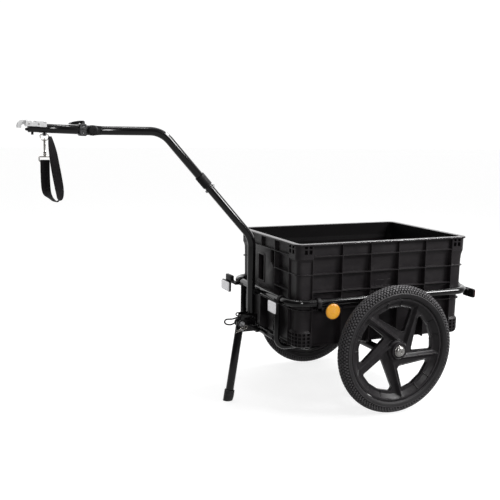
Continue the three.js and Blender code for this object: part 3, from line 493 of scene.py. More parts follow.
# ------------------------------------------------------------------ materials
class Finish:
    """A material's node tree, built up by small steps."""

    def __init__(self, name):
        self.m = bpy.data.materials.new(name)
        self.m.use_nodes = True
        self.t = self.m.node_tree
        self.b = self.t.nodes["Principled BSDF"]
        self.coord = self.t.nodes.new("ShaderNodeTexCoord")
        self.obj = self.coord.outputs["Object"]

    def n(self, kind, **kw):
        node = self.t.nodes.new(kind)
        for k, v in kw.items():
            setattr(node, k, v)
        return node

    def link(self, a, b):
        self.t.links.new(a, b)

    def scaled(self, s, source=None):
        node = self.n("ShaderNodeMapping")
        node.inputs["Scale"].default_value = s if hasattr(s, "__len__") else (s, s, s)
        self.link(source or self.obj, node.inputs["Vector"])
        return node.outputs["Vector"]

    def noise(self, scale, detail=4.0, rough=0.55, distort=0.0, source=None, stretch=None):
        node = self.n("ShaderNodeTexNoise")
        node.inputs["Scale"].default_value = scale
        node.inputs["Detail"].default_value = detail
        node.inputs["Roughness"].default_value = rough
        node.inputs["Distortion"].default_value = distort
        src = source or self.obj
        if stretch:
            src = self.scaled(stretch, src)
        self.link(src, node.inputs["Vector"])
        return node.outputs["Fac"]

    def voronoi(self, scale, feature="F1", source=None, out="Distance", rand=1.0):
        node = self.n("ShaderNodeTexVoronoi", feature=feature)
        node.inputs["Scale"].default_value = scale
        node.inputs["Randomness"].default_value = rand
        self.link(source or self.obj, node.inputs["Vector"])
        return node.outputs[out]

    def remap(self, value, a, b, c, d):
        node = self.n("ShaderNodeMapRange")
        self.link(value, node.inputs["Value"])
        for k, x in zip(("From Min", "From Max", "To Min", "To Max"), (a, b, c, d)):
            node.inputs[k].default_value = x
        return node.outputs["Result"]

    def math(self, op, a, b=None):
        node = self.n("ShaderNodeMath", operation=op)
        for i, x in enumerate((a, b)):
            if x is None:
                continue
            if isinstance(x, (int, float)):
                node.inputs[i].default_value = x
            else:
                self.link(x, node.inputs[i])
        return node.outputs[0]

    def mix(self, fac, a, b):
        node = self.n("ShaderNodeMix", data_type="RGBA")
        if isinstance(fac, (int, float)):
            node.inputs["Factor"].default_value = fac
        else:
            self.link(fac, node.inputs["Factor"])
        for key, x in ((6, a), (7, b)):
            if hasattr(x, "links") or hasattr(x, "is_linked"):
                self.link(x, node.inputs[key])
            else:
                node.inputs[key].default_value = (*x, 1.0)
        return node.outputs[2]

    def bump(self, height, strength, distance, base=None):
        node = self.n("ShaderNodeBump")
        node.inputs["Strength"].default_value = strength
        node.inputs["Distance"].default_value = distance
        self.link(height, node.inputs["Height"])
        if base is not None:
            self.link(base, node.inputs["Normal"])
        return node.outputs["Normal"]

    def done(self, colour, rough, normal=None, **consts):
        for name, x in (("Base Color", colour), ("Roughness", rough)):
            if hasattr(x, "is_linked"):
                self.link(x, self.b.inputs[name])
            else:
                self.b.inputs[name].default_value = (*x, 1.0) if hasattr(x, "__len__") else x
        if normal is not None:
            self.link(normal, self.b.inputs["Normal"])
        for k, x in consts.items():
            self.b.inputs[k.replace("_", " ")].default_value = x
        return self.m


def gloss_paint():
    f = Finish("frame_paint")
    peel = f.noise(420, 2.0, 0.5)
    fine = f.noise(2600, 2.0, 0.6)
    dust = f.noise(22, 5.0, 0.6, 0.4)
    scuff = f.noise(90, 6.0, 0.7, 1.2, stretch=(1, 1, 6))
    colour = f.mix(f.remap(dust, 0.45, 0.8, 0, 0.6), (0.0042, 0.0036, 0.0043), (0.0095, 0.0085, 0.0092))
    colour = f.mix(f.remap(scuff, 0.68, 0.8, 0, 0.5), colour, (0.026, 0.024, 0.025))
    rough = f.math("ADD", f.remap(dust, 0.3, 0.8, 0.11, 0.2), f.remap(scuff, 0.6, 0.85, 0.0, 0.15))
    normal = f.bump(peel, 0.02, 0.0003)
    normal = f.bump(fine, 0.02, 0.0001, normal)
    return f.done(colour, rough, normal, Specular_IOR_Level=0.55, Coat_Weight=0.35, Coat_Roughness=0.06)


def crate_mat(name="crate_plastic", level=1.3, spec=0.4, rough0=0.36):
    f = Finish(name)
    # level scales every colour: the darker inside copy (level 0.2) is painted shade, the lighter lip copy (level 1.8) a
    # painted highlight
    shade = lambda r, g, b: (r * level, g * level, b * level)
    grain = f.noise(1900, 3.0, 0.65)
    flow = f.noise(7, 4.0, 0.6, 1.4, stretch=(1, 1, 2.5))
    haze = f.noise(34, 6.0, 0.62, 0.6)
    scratch = f.noise(60, 3.0, 0.6, 0.3, stretch=(14, 14, 1))
    colour = f.mix(f.remap(flow, 0.35, 0.7, 0, 1), shade(0.0135, 0.0112, 0.0130), shade(0.0215, 0.0185, 0.0200))
    colour = f.mix(f.remap(haze, 0.5, 0.85, 0, 0.45), colour, shade(0.036, 0.0325, 0.0345))
    colour = f.mix(f.remap(scratch, 0.7, 0.78, 0, 0.3), colour, shade(0.048, 0.044, 0.046))
    rough = f.math("ADD", f.remap(haze, 0.3, 0.8, rough0, rough0 + 0.14), f.remap(flow, 0.3, 0.7, -0.03, 0.03))
    normal = f.bump(grain, 0.16, 0.00025)
    normal = f.bump(f.noise(55, 2.0, 0.5), 0.12, 0.0008, normal)
    return f.done(colour, rough, normal, Specular_IOR_Level=spec)


def wheel_mat():
    f = Finish("wheel_plastic")
    grain = f.noise(1500, 3.0, 0.6)
    haze = f.noise(48, 5.0, 0.6, 0.8)
    streak = f.noise(26, 4.0, 0.65, 1.8)
    colour = f.mix(f.remap(haze, 0.4, 0.8, 0, 1), (0.0215, 0.0192, 0.0212), (0.040, 0.0368, 0.0392))
    colour = f.mix(f.remap(streak, 0.66, 0.8, 0, 0.35), colour, (0.055, 0.051, 0.053))
    rough = f.remap(haze, 0.3, 0.8, 0.3, 0.42)
    normal = f.bump(grain, 0.14, 0.00025)
    return f.done(colour, rough, normal, Specular_IOR_Level=0.42)


def tyre_mat():
    f = Finish("tyre_rubber")
    grain = f.noise(2200, 4.0, 0.7)
    mould = f.noise(130, 4.0, 0.6)
    bloom = f.noise(18, 6.0, 0.6, 0.5)
    colour = f.mix(f.remap(bloom, 0.35, 0.75, 0, 1), (0.0165, 0.0150, 0.0165), (0.029, 0.0272, 0.029))
    colour = f.mix(f.remap(mould, 0.6, 0.85, 0, 0.5), colour, (0.036, 0.034, 0.036))
    # pointiness paints light and shade: block edges are lightened as a painted highlight, the gaps between blocks
    # darkened as painted shade
    edge = f.n("ShaderNodeNewGeometry").outputs["Pointiness"]
    colour = f.mix(f.remap(edge, 0.505, 0.58, 0, 0.85), colour, (0.12, 0.115, 0.12))
    colour = f.mix(f.remap(edge, 0.49, 0.42, 0, 0.9), colour, (0.004, 0.0035, 0.004))
    rough = f.remap(bloom, 0.3, 0.8, 0.52, 0.7)
    normal = f.bump(grain, 0.25, 0.0003)
    normal = f.bump(mould, 0.15, 0.0006, normal)
    return f.done(colour, rough, normal, Specular_IOR_Level=0.4)


def rubber_mat():
    f = Finish("soft_rubber")
    grain = f.noise(2400, 4.0, 0.7)
    dust = f.noise(70, 6.0, 0.62, 0.8)
    colour = f.mix(f.remap(dust, 0.4, 0.8, 0, 1), (0.040, 0.0388, 0.0395), (0.080, 0.078, 0.077))
    normal = f.bump(grain, 0.25, 0.0003)
    return f.done(colour, f.remap(dust, 0.3, 0.8, 0.5, 0.72), normal, Specular_IOR_Level=0.38)


def plastic_mat():
    f = Finish("black_plastic")
    grain = f.noise(2800, 3.0, 0.6)
    haze = f.noise(110, 5.0, 0.6)
    colour = f.mix(f.remap(haze, 0.4, 0.8, 0, 1), (0.009, 0.0078, 0.009), (0.020, 0.0182, 0.0195))
    normal = f.bump(grain, 0.2, 0.0002)
    return f.done(colour, f.remap(haze, 0.3, 0.8, 0.46, 0.6), normal, Specular_IOR_Level=0.3)


def cast_mat(name="grey_casting", level=1.0):
    f = Finish(name)
    grain = f.noise(900, 5.0, 0.7)
    cloud = f.noise(120, 5.0, 0.6, 0.6)
    colour = f.mix(f.remap(cloud, 0.35, 0.75, 0, 1), tuple(level * c for c in (0.075, 0.075, 0.078)), tuple(level * c for c in (0.15, 0.149, 0.15)))
    normal = f.bump(grain, 0.3, 0.0004)
    return f.done(colour, f.remap(cloud, 0.3, 0.8, 0.36, 0.52), normal, Metallic=0.75)


def zinc_mat():
    f = Finish("zinc_plate")
    spangle = f.voronoi(160, "F1", out="Distance")
    cloud = f.noise(95, 6.0, 0.62, 0.9)
    line = f.noise(40, 3.0, 0.6, 0.2, stretch=(1, 12, 12))
    colour = f.mix(f.remap(cloud, 0.3, 0.75, 0, 1), (0.80, 0.80, 0.81), (0.60, 0.60, 0.62))
    colour = f.mix(f.remap(spangle, 0.0, 0.7, 0.0, 0.1), colour, (0.9, 0.9, 0.91))
    rough = f.math("ADD", f.remap(cloud, 0.3, 0.8, 0.2, 0.36), f.remap(line, 0.5, 0.8, 0, 0.08))
    normal = f.bump(f.noise(1300, 4.0, 0.6), 0.1, 0.0002)
    return f.done(colour, rough, normal, Metallic=0.95)


def head_mat():
    """Bright passivated casting: pale, satin, faintly clouded."""
    f = Finish("hitch_bright")
    cloud = f.noise(60, 5.0, 0.6, 0.5)
    pits = f.noise(700, 3.0, 0.6)
    colour = f.mix(f.remap(cloud, 0.3, 0.75, 0, 1), (0.99, 0.99, 0.99), (0.94, 0.94, 0.95))
    colour = f.mix(f.remap(pits, 0.68, 0.8, 0, 0.25), colour, (0.7, 0.7, 0.71))
    normal = f.bump(pits, 0.08, 0.0002)
    return f.done(colour, f.remap(cloud, 0.3, 0.8, 0.26, 0.38), normal, Metallic=0.0, Specular_IOR_Level=0.7)


def wire_mat():
    f = Finish("bright_wire")
    cloud = f.noise(260, 5.0, 0.6, 0.6)
    fine = f.noise(3000, 2.0, 0.6)
    colour = f.mix(f.remap(cloud, 0.35, 0.75, 0, 1), (0.72, 0.69, 0.65), (0.46, 0.42, 0.38))
    normal = f.bump(fine, 0.1, 0.0001)
    return f.done(colour, f.remap(cloud, 0.3, 0.8, 0.16, 0.32), normal, Metallic=0.95)


def steel_mat():
    f = Finish("turned_steel")
    rings = f.noise(600, 3.0, 0.6)
    cloud = f.noise(180, 5.0, 0.6, 0.6)
    colour = f.mix(f.remap(cloud, 0.35, 0.75, 0, 1), (0.78, 0.77, 0.75), (0.55, 0.53, 0.51))
    normal = f.bump(rings, 0.08, 0.0002)
    return f.done(colour, f.remap(cloud, 0.3, 0.8, 0.2, 0.34), normal, Metallic=0.9)


def webbing_mat():
    """Plain weave, from lengthways and crossways ribs in the strip's own coordinates."""
    f = Finish("webbing")
    uv = f.n("ShaderNodeUVMap", uv_map="along").outputs["UV"]
    sep = f.n("ShaderNodeSeparateXYZ")
    f.link(uv, sep.inputs[0])
    u, v = sep.outputs["X"], sep.outputs["Y"]               # metres across and along
    su = f.math("SINE", f.math("MULTIPLY", u, 2 * math.pi / 0.0016))
    sv = f.math("SINE", f.math("MULTIPLY", v, 2 * math.pi / 0.0022))
    weave = f.math("MULTIPLY", su, sv)
    rib = f.math("ABSOLUTE", f.math("SINE", f.math("MULTIPLY", u, math.pi / 0.0016)))
    height = f.math("ADD", f.math("MULTIPLY", weave, 0.5), f.math("MULTIPLY", rib, 0.6))
    fuzz = f.noise(3000, 3.0, 0.7)
    cloud = f.noise(120, 4.0, 0.6)
    height = f.math("ADD", height, f.math("MULTIPLY", fuzz, 0.5))
    colour = f.mix(f.remap(height, -0.3, 1.4, 0, 1), (0.0035, 0.0028, 0.0036), (0.0135, 0.0115, 0.0135))
    colour = f.mix(f.remap(cloud, 0.45, 0.8, 0, 0.4), colour, (0.018, 0.016, 0.018))
    normal = f.bump(height, 0.55, 0.0004)
    return f.done(colour, f.remap(fuzz, 0.3, 0.7, 0.7, 0.88), normal, Specular_IOR_Level=0.16, Sheen_Weight=0.05)


def thread_mat():
    f = Finish("stitching")
    twist = f.noise(5000, 2.0, 0.6, stretch=(1, 1, 0.3))
    colour = f.mix(twist, (0.012, 0.011, 0.012), (0.045, 0.042, 0.045))
    return f.done(colour, 0.75, f.bump(twist, 0.3, 0.0002), Specular_IOR_Level=0.25)


def lens_mat(name, deep, pale, rough=0.12, painted_glow=0.0, relief=0.35):
    f = Finish(name)
    cells = f.voronoi(330, "F1", rand=0.15)
    tint = f.noise(60, 3.0, 0.5)
    # paler cell centres and deeper cell edges paint facet glints on the lens
    colour = f.mix(f.remap(cells, 0.1, 0.6, 0, 1), pale, deep)
    colour = f.mix(f.remap(tint, 0.45, 0.75, 0, 0.3), colour, pale)
    normal = f.bump(cells, relief, 0.0008)
    # a weak emission in the pale colour makes the lens glow, painted light standing in for its retroreflection
    f.b.inputs["Emission Color"].default_value = (*pale, 1.0)
    return f.done(colour, f.remap(tint, 0.3, 0.7, rough, rough + 0.08), normal, Specular_IOR_Level=0.6,
                  Coat_Weight=0.6, Coat_Roughness=0.04, Emission_Strength=painted_glow)


PAINT, CRATE, WHEEL, TYRE, RUBBER, PLASTIC = (gloss_paint(), crate_mat(), wheel_mat(), tyre_mat(), rubber_mat(),
                                             plastic_mat())
CAST, ZINC, WIRE, STEEL, WEB, THREAD = cast_mat(), zinc_mat(), wire_mat(), steel_mat(), webbing_mat(), thread_mat()
CLEAR = lens_mat("clear_lens", (0.66, 0.66, 0.69), (0.97, 0.96, 0.98), painted_glow=0.3)
AMBER = lens_mat("amber_lens", (0.74, 0.20, 0.008), (1.0, 0.58, 0.06), painted_glow=0.2, relief=0.8)
# the inside copy of the crate plastic is much darker, painted shade for the crate's interior
HEAD, CRATE_IN_PAINTED_SHADE = head_mat(), crate_mat("crate_inside", 0.2, 0.06, 0.6)
# the lip copy of the crate plastic is lighter and glossier, a painted highlight along the lip's top
CRATE_LIP_PAINTED_HIGHLIGHT, CAST_DARK = crate_mat("crate_lip_painted_highlight", 1.8, 0.7, 0.18), cast_mat("dark_casting", 0.22)
RED = lens_mat("red_lens", (0.30, 0.006, 0.01), (0.62, 0.02, 0.025))
SLOT = {"frame_paint": PAINT, "crate_plastic": CRATE, "wheel_plastic": WHEEL, "tyre_rubber": TYRE, "soft_rubber": RUBBER,
        "black_plastic": PLASTIC, "grey_casting": CAST, "zinc_plate": ZINC, "bright_wire": WIRE, "webbing": WEB,
        "clear_lens": CLEAR, "amber_lens": AMBER, "red_lens": RED}
BODY = {n: o["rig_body"] for n, o in NODES.items()}


def piece(name, part, slot, replaces=(), body=None, sharp=32.0, mat=None, recalc=True, uv=None, weighted=False):
    v, f = part
    me = bpy.data.meshes.new(name)
    me.from_pydata(W(v).tolist(), [], f)
    if recalc:
        bm = bmesh.new()
        bm.from_mesh(me)
        bmesh.ops.recalc_face_normals(bm, faces=bm.faces[:])
        bm.to_mesh(me)
        bm.free()
    me.shade_smooth()
    me.set_sharp_from_angle(angle=math.radians(sharp))
    me.materials.append(mat or SLOT[slot])
    if uv is not None:
        layer = me.uv_layers.new(name="along")
        loops = np.zeros(len(me.loops), np.int32)
        me.loops.foreach_get("vertex_index", loops)
        layer.data.foreach_set("uv", np.asarray(uv, np.float32)[loops].ravel())
    o = bpy.data.objects.new(name, me)
    scene.collection.objects.link(o)
    if isinstance(replaces, str):
        replaces = (replaces,)
    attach(o, body or BODY[replaces[0]])
    if replaces:
        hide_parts(*replaces)
    if weighted:
        m = o.modifiers.new("faces", "WEIGHTED_NORMAL")
        m.keep_sharp = True
    return o


# ------------------------------------------------------------------ camera, light, floor
CAM = np.array([-1308.168, -2161.593, 843.556])
RIGHT = unit([0.9166, -0.3997, 0.0148])
BACK = unit([-0.396994, -0.904689, 0.154702])
RIGHT = unit(RIGHT - BACK * (RIGHT @ BACK))
UP = np.cross(BACK, RIGHT)
cam = bpy.data.objects.new("camera", bpy.data.cameras.new("camera"))
scene.collection.objects.link(cam)
m = np.eye(4)
m[:3, 0], m[:3, 1], m[:3, 2], m[:3, 3] = RIGHT, UP, BACK, W(CAM)[0]
cam.matrix_world = Matrix(m.tolist())
cam.data.sensor_width = 36.0
cam.data.lens = 55.67
cam.data.clip_start, cam.data.clip_end = 0.05, 60
cam.data.dof.use_dof = False
scene.camera = cam

FX, FY = 0.0, 0.0
floor_me = bpy.data.meshes.new("floor")
S = 30.0
floor_me.from_pydata([(-S, -S, 0), (S, -S, 0), (S, S, 0), (-S, S, 0)], [], [(0, 1, 2, 3)])
floor = bpy.data.objects.new("floor", floor_me)
floor.location = (0, 0, -0.0004)
scene.collection.objects.link(floor)
ff = Finish("studio_floor")
tone = ff.noise(1.3, 3.0, 0.5)
fm = ff.done(ff.mix(tone, (0.30, 0.30, 0.30), (0.33, 0.33, 0.33)), ff.remap(tone, 0.3, 0.7, 0.8, 0.9), None,
             Specular_IOR_Level=0.05, Emission_Strength=0.82)
fm.node_tree.nodes["Principled BSDF"].inputs["Emission Color"].default_value = (1, 1, 1, 1)
floor_me.materials.append(fm)
floor.visible_diffuse = floor.visible_glossy = False


def area(name, at, aim, w, h, power, colour=(1, 1, 1)):
    d = bpy.data.lights.new(name, "AREA")
    d.shape, d.size, d.size_y, d.energy, d.color = "RECTANGLE", w, h, power, colour
    o = bpy.data.objects.new(name, d)
    o.location = at
    o.rotation_mode = "QUATERNION"
    o.rotation_quaternion = (Vector(aim) - Vector(at)).to_track_quat("-Z", "Y")
    scene.collection.objects.link(o)
    return o


area("key", (2.8, -2.6, 2.4), (0.25, -0.1, 0.3), 1.3, 1.3, 96)
area("strip", (-0.9, -3.4, 1.9), (0.1, 0, 0.4), 0.35, 2.0, 20)
area("over", (2.0, -0.1, 2.8), (0.4, -0.2, 0.35), 2.4, 0.16, 80)
area("line", (-0.1, 0.2, 3.2), (-0.4, 0.0, 0.8), 1.4, 0.1, 10)

world = bpy.data.worlds.new("studio")
scene.world = world
world.use_nodes = True
wt = world.node_tree
bg = wt.nodes["Background"]
co = wt.nodes.new("ShaderNodeTexCoord")
sep = wt.nodes.new("ShaderNodeSeparateXYZ")
wt.links.new(co.outputs["Generated"], sep.inputs[0])


def wmath(op, a, b):
    n = wt.nodes.new("ShaderNodeMath")
    n.operation = op
    for i, x in enumerate((a, b)):
        if isinstance(x, (int, float)):
            n.inputs[i].default_value = x
        else:
            wt.links.new(x, n.inputs[i])
    return n.outputs[0]


# bright wall behind the trailer, a softbox overhead, dim sides and a grey floor seen in reflections


def wstep(value, lo, hi, a, b):
    n = wt.nodes.new("ShaderNodeMapRange")
    n.interpolation_type = "SMOOTHSTEP"
    wt.links.new(value, n.inputs["Value"])
    for k, x in zip(("From Min", "From Max", "To Min", "To Max"), (lo, hi, a, b)):
        n.inputs[k].default_value = x
    return n.outputs["Result"]


zz = sep.outputs["Z"]
side = wmath("ADD", wmath("MULTIPLY", sep.outputs["X"], 0.35), wmath("MULTIPLY", sep.outputs["Y"], 0.95))
wall = wstep(side, 0.15, 0.75, 0.0, 1.0)
right = wstep(sep.outputs["X"], -0.2, 0.9, 0.05, 0.16)
zenith = wstep(zz, 0.80, 0.92, 0.0, 0.5)
ground = wstep(zz, -0.25, -0.02, 0.28, 0.0)
upper = wmath("MULTIPLY", wmath("ADD", wall, right), wstep(zz, -0.12, -0.05, 0.35, 1.0))
total = wmath("ADD", wmath("ADD", upper, zenith), ground)
wt.links.new(total, bg.inputs[1])
bg.inputs[0].default_value = (1, 1, 1, 1)
scene.view_settings.view_transform = "Standard"
scene.view_settings.look = "None"
scene.view_settings.exposure = 0.0
scene.view_settings.gamma = 1.0


# ------------------------------------------------------------------ crate
CX, CA, SIDE = -1.5, 298.0, 89.7     # centre, half length over the ribs, half length minus half width
XC, YC = 278.0, 188.3                # corner centre in plan, above the rail


def crate_part():
    # stations along a quarter of the outline: place, outward direction, rib, column, pocket, foot pocket, corner
    st = []

    def put(p, n, rib=0.0, col=0.0, pk=0.0, sk=0.0, bow=0.0, arc_=0.0):
        st.append((p[0], p[1], n[0], n[1], rib, col, pk, sk, bow, arc_))

    def along(items, fun, n):
        for u, kw in items:
            put(fun(u), n, **kw)

    def rib_items(c, left, right):
        return [(c - 2.3, dict(**left)), (c - 1.75, dict(rib=0.10, **left)), (c - 1.45, dict(rib=0.9, **left)),
                (c - 1.0, dict(rib=1.0, **left)), (c + 1.0, dict(rib=1.0, **right)), (c + 1.45, dict(rib=0.9, **right)),
                (c + 1.75, dict(rib=0.10, **right)), (c + 2.3, dict(**right))]

    def panel(a, b, extra=()):
        us = sorted([a + (b - a) * k / 6 for k in range(1, 6)] + list(extra))
        return [(u, dict(bow=math.sin(math.pi * (u - a) / (b - a)))) for u in us]

    def flagged(pk_, sk_, start, stop):
        es = sorted({e for lo, hi in pk_ + sk_ for e in (lo, hi)})
        us = [start] + [e + d for e in es for d in (-0.15, 0.15)] + [stop]
        return [(u, dict(col=1.0, pk=float(any(lo < u < hi for lo, hi in pk_)), sk=float(any(lo < u < hi for lo, hi in sk_)))) for u in us]
    long = []
    long += [(0.0, dict(bow=1.0))] + [(u, dict(bow=math.cos(math.pi / 2 * u / 47.2))) for u in (12.0, 20.0, 24.0, 36.0, 43.0)]
    long += rib_items(49.5, {}, {}) + panel(51.8, 146.2, (68.0, 133.5)) + rib_items(148.5, {}, {}) + panel(150.8, 245.2)
    long += rib_items(247.5, {}, dict(col=1.0))
    long += flagged([(252.4, 262.0), (267.5, 277.6)], [(252.4, 272.0)], 251.4, XC)
    along(long, lambda u: (u, CA - SIDE), (0.0, 1.0))
    foot = [(70, 84), (48, 62), (27, 41), (6, 20)]
    angs = sorted(set([88.5] + [a + d for lo, hi in foot for a in (lo, hi) for d in (-0.4, 0.4)] + list(range(4, 88, 5)) + [1.5]), reverse=True)
    for t in angs:
        r = math.radians(t)
        sk = 1.0 if any(lo < t < hi for lo, hi in foot) else 0.0
        n = (math.cos(r), math.sin(r))
        put((XC + 20 * n[0], YC + 20 * n[1]), n, col=1.0, sk=sk, arc_=1.0)
    short = list(reversed(flagged([(152.4, 165.0), (173.0, 186.0)], [(154.0, 167.0), (171.0, 184.0)], 151.4, YC)))
    short += list(reversed(rib_items(148.5, {}, dict(col=1.0))))
    short += list(reversed(panel(51.8, 146.2, (68.0, 133.5)))) + list(reversed(rib_items(49.5, {}, {})))
    short += [(u, dict(bow=math.cos(math.pi / 2 * u / 47.2))) for u in (43.0, 36.0, 24.0, 20.0, 12.0)]
    along(short, lambda w: (CA, w), (1.0, 0.0))
    put((CA, 0.0), (1.0, 0.0), bow=1.0)
    q = np.array(st)
    quads = []
    full = []
    for k, (sx, sy) in enumerate(((1, 1), (1, -1), (-1, -1), (-1, 1))):
        part = q.copy()
        part[:, 0] *= sx
        part[:, 1] *= sy
        part[:, 2] *= sx
        part[:, 3] *= sy
        if k % 2:
            part = part[::-1]
        full.append(part[:-1])
    Q = np.concatenate(full)
    nS = len(Q)
    px, py, nx, ny, rib, col, pk, sk, bow, arc_ = Q.T
    in_frame = (nx < -0.99) & (py > -45.0) & (py < 133.0)

    # levels of the outer wall: z, wall, column, horizontal rib, pocket row, foot pocket row
    def wall(z):
        w = float(np.interp(z, [205, 260, 462, 475, 512], [275.5, 278, 283.2, 289, 289.4]))
        return max(w, 279.0) if z < 207.6 else w

    def column(z):
        return float(np.interp(z, [205, 211, 250, 257, 462, 472, 512], [290, 296.8, 296.8, 291.2, 293.4, 299.0, 299.5]))
    L = []

    def lv(z, rh=0.0, pr=0.0, sr=0.0, ro=1.0):
        L.append((z, rh, pr, sr, ro))

    lv(205.0), lv(205.6), lv(207.4), lv(207.7)
    for z in (209, 220, 231, 242):
        lv(z - 0.2), lv(z + 0.2, sr=1), lv(z + 7.6, sr=1), lv(z + 8.0)
    lv(251.5), lv(254), lv(257), lv(262)
    lv(285), lv(330), lv(357)
    for z in (318, 372, 425, 478):
        lo, hi = z - 1.5, z + 1.5
        if z == 478:
            lv(462), lv(467), lv(472), lv(475)
        if z == 372:
            lv(362.6), lv(363.1, rh=0.34), lv(365.4, rh=0.34), lv(365.9)
        lv(lo - 0.6), lv(lo - 0.2, rh=0.1), lv(lo + 0.1, rh=0.9), lv(lo + 0.55, rh=1), lv(hi - 0.55, rh=1)
        lv(hi - 0.1, rh=0.9), lv(hi + 0.2, rh=0.1), lv(hi + 0.6)
    lv(486.8), lv(487.2, pr=1), lv(498.8, pr=1), lv(499.2), lv(502.8), lv(503.2, pr=1), lv(510.6, pr=1), lv(510.9), lv(511.4)
    L.sort(key=lambda r: r[0])
    rows = []
    for z, rh, pr, sr, ro in L:
        w = wall(z)
        a = np.full(nS, w)
        a -= bow * (0.55 if 208 < z < 510 else 0.0) * (1 if z < 476 else 0.5)
        a = np.where(col > 0.5, np.maximum(a, column(z)), a)
        k = np.maximum(rib, np.where((col > 0.5) & (355 < z < 380), 0.0, rh))
        if 325.5 < z < 476.4:
            k = np.where(in_frame, 0.0, k)
        a = np.where((CA > a) & (k > 0), a + (CA - a) * k, a)
        a = np.where((pr > 0.5) & (pk > 0.5), 288.6, a)
        a = np.where((sr > 0.5) & (sk > 0.5), 289.2, a)
        rows.append((z, a, float(np.interp(z, [330, 357], [264.0, XC]))))
    # rounded lip, inside wall, floor
    for z, a in ((511.6, 292), (511.5, 304.0), (511.8, 304.7), (512.6, 305.0), (515.2, 305.0), (516.2, 304.75), (516.8, 304.2), (517.0, 303.3),
                 (517.0, 288.6), (516.75, 287.2), (516.2, 286.5), (515.2, 286.25), (475.6, 286.0), (474.4, 285.6), (462.6, 280.4),
                 (461.4, 280.1), (380, 277.9), (300, 276), (258, 275), (222, 273.6), (214, 272.4), (210.6, 270.4), (209.0, 267.6),
                 (208.5, 264.5)):
        rows.append((z, np.full(nS, float(a)), XC if a > 288 else max(a - 17.0, 253.0)))
    under = [(205.0, 277.0), (205.0, 262.4), (205.3, 262.0), (206.0, 262.0)]

    def ring(z, a, c=258.0):
        # corner centre c: the last runs of each side end there, and the arc turns about it
        cy = c - SIDE
        ax, ay = np.abs(px), np.abs(py)
        x = np.where(ax > 252, 252 + (ax - 252) * (c - 252) / (XC - 252), ax)
        y = np.where(ay > 152, 152 + (ay - 152) * (cy - 152) / (YC - 152), ay)
        on_long, on_short = (np.abs(ny) > 0.9999) & (arc_ < 0.5), (np.abs(nx) > 0.9999) & (arc_ < 0.5)
        gx = np.where(on_short, a, np.where(on_long, x, c + np.abs(nx) * (a - c)))
        gy = np.where(on_long, a - SIDE, np.where(on_short, y, cy + np.abs(ny) * (a - c)))
        return np.stack([CX + np.where(px < 0, -gx, gx), np.where(py < 0, -gy, gy), np.full(nS, z)], 1)
    V = [ring(z, a, c) for z, a, c in rows]
    nV = len(V)
    F = []
    for i in range(nV - 1):
        a, b = i * nS, (i + 1) * nS
        for j in range(nS):
            k = (j + 1) % nS
            F.append((a + j, a + k, b + k, b + j))
    # inside floor with a shallow cross of ribs is a separate mesh; close with one face here
    F.append(tuple((nV - 1) * nS + j for j in range(nS)))
    prev = 0
    base = nV * nS
    for i, (z, a) in enumerate(under):
        V.append(ring(z, np.full(nS, a)))
        b = base + i * nS
        for j in range(nS):
            k = (j + 1) % nS
            F.append((prev + k, prev + j, b + j, b + k))
        prev = b
    F.append(tuple(prev + j for j in range(nS)))
    return np.concatenate(V), F


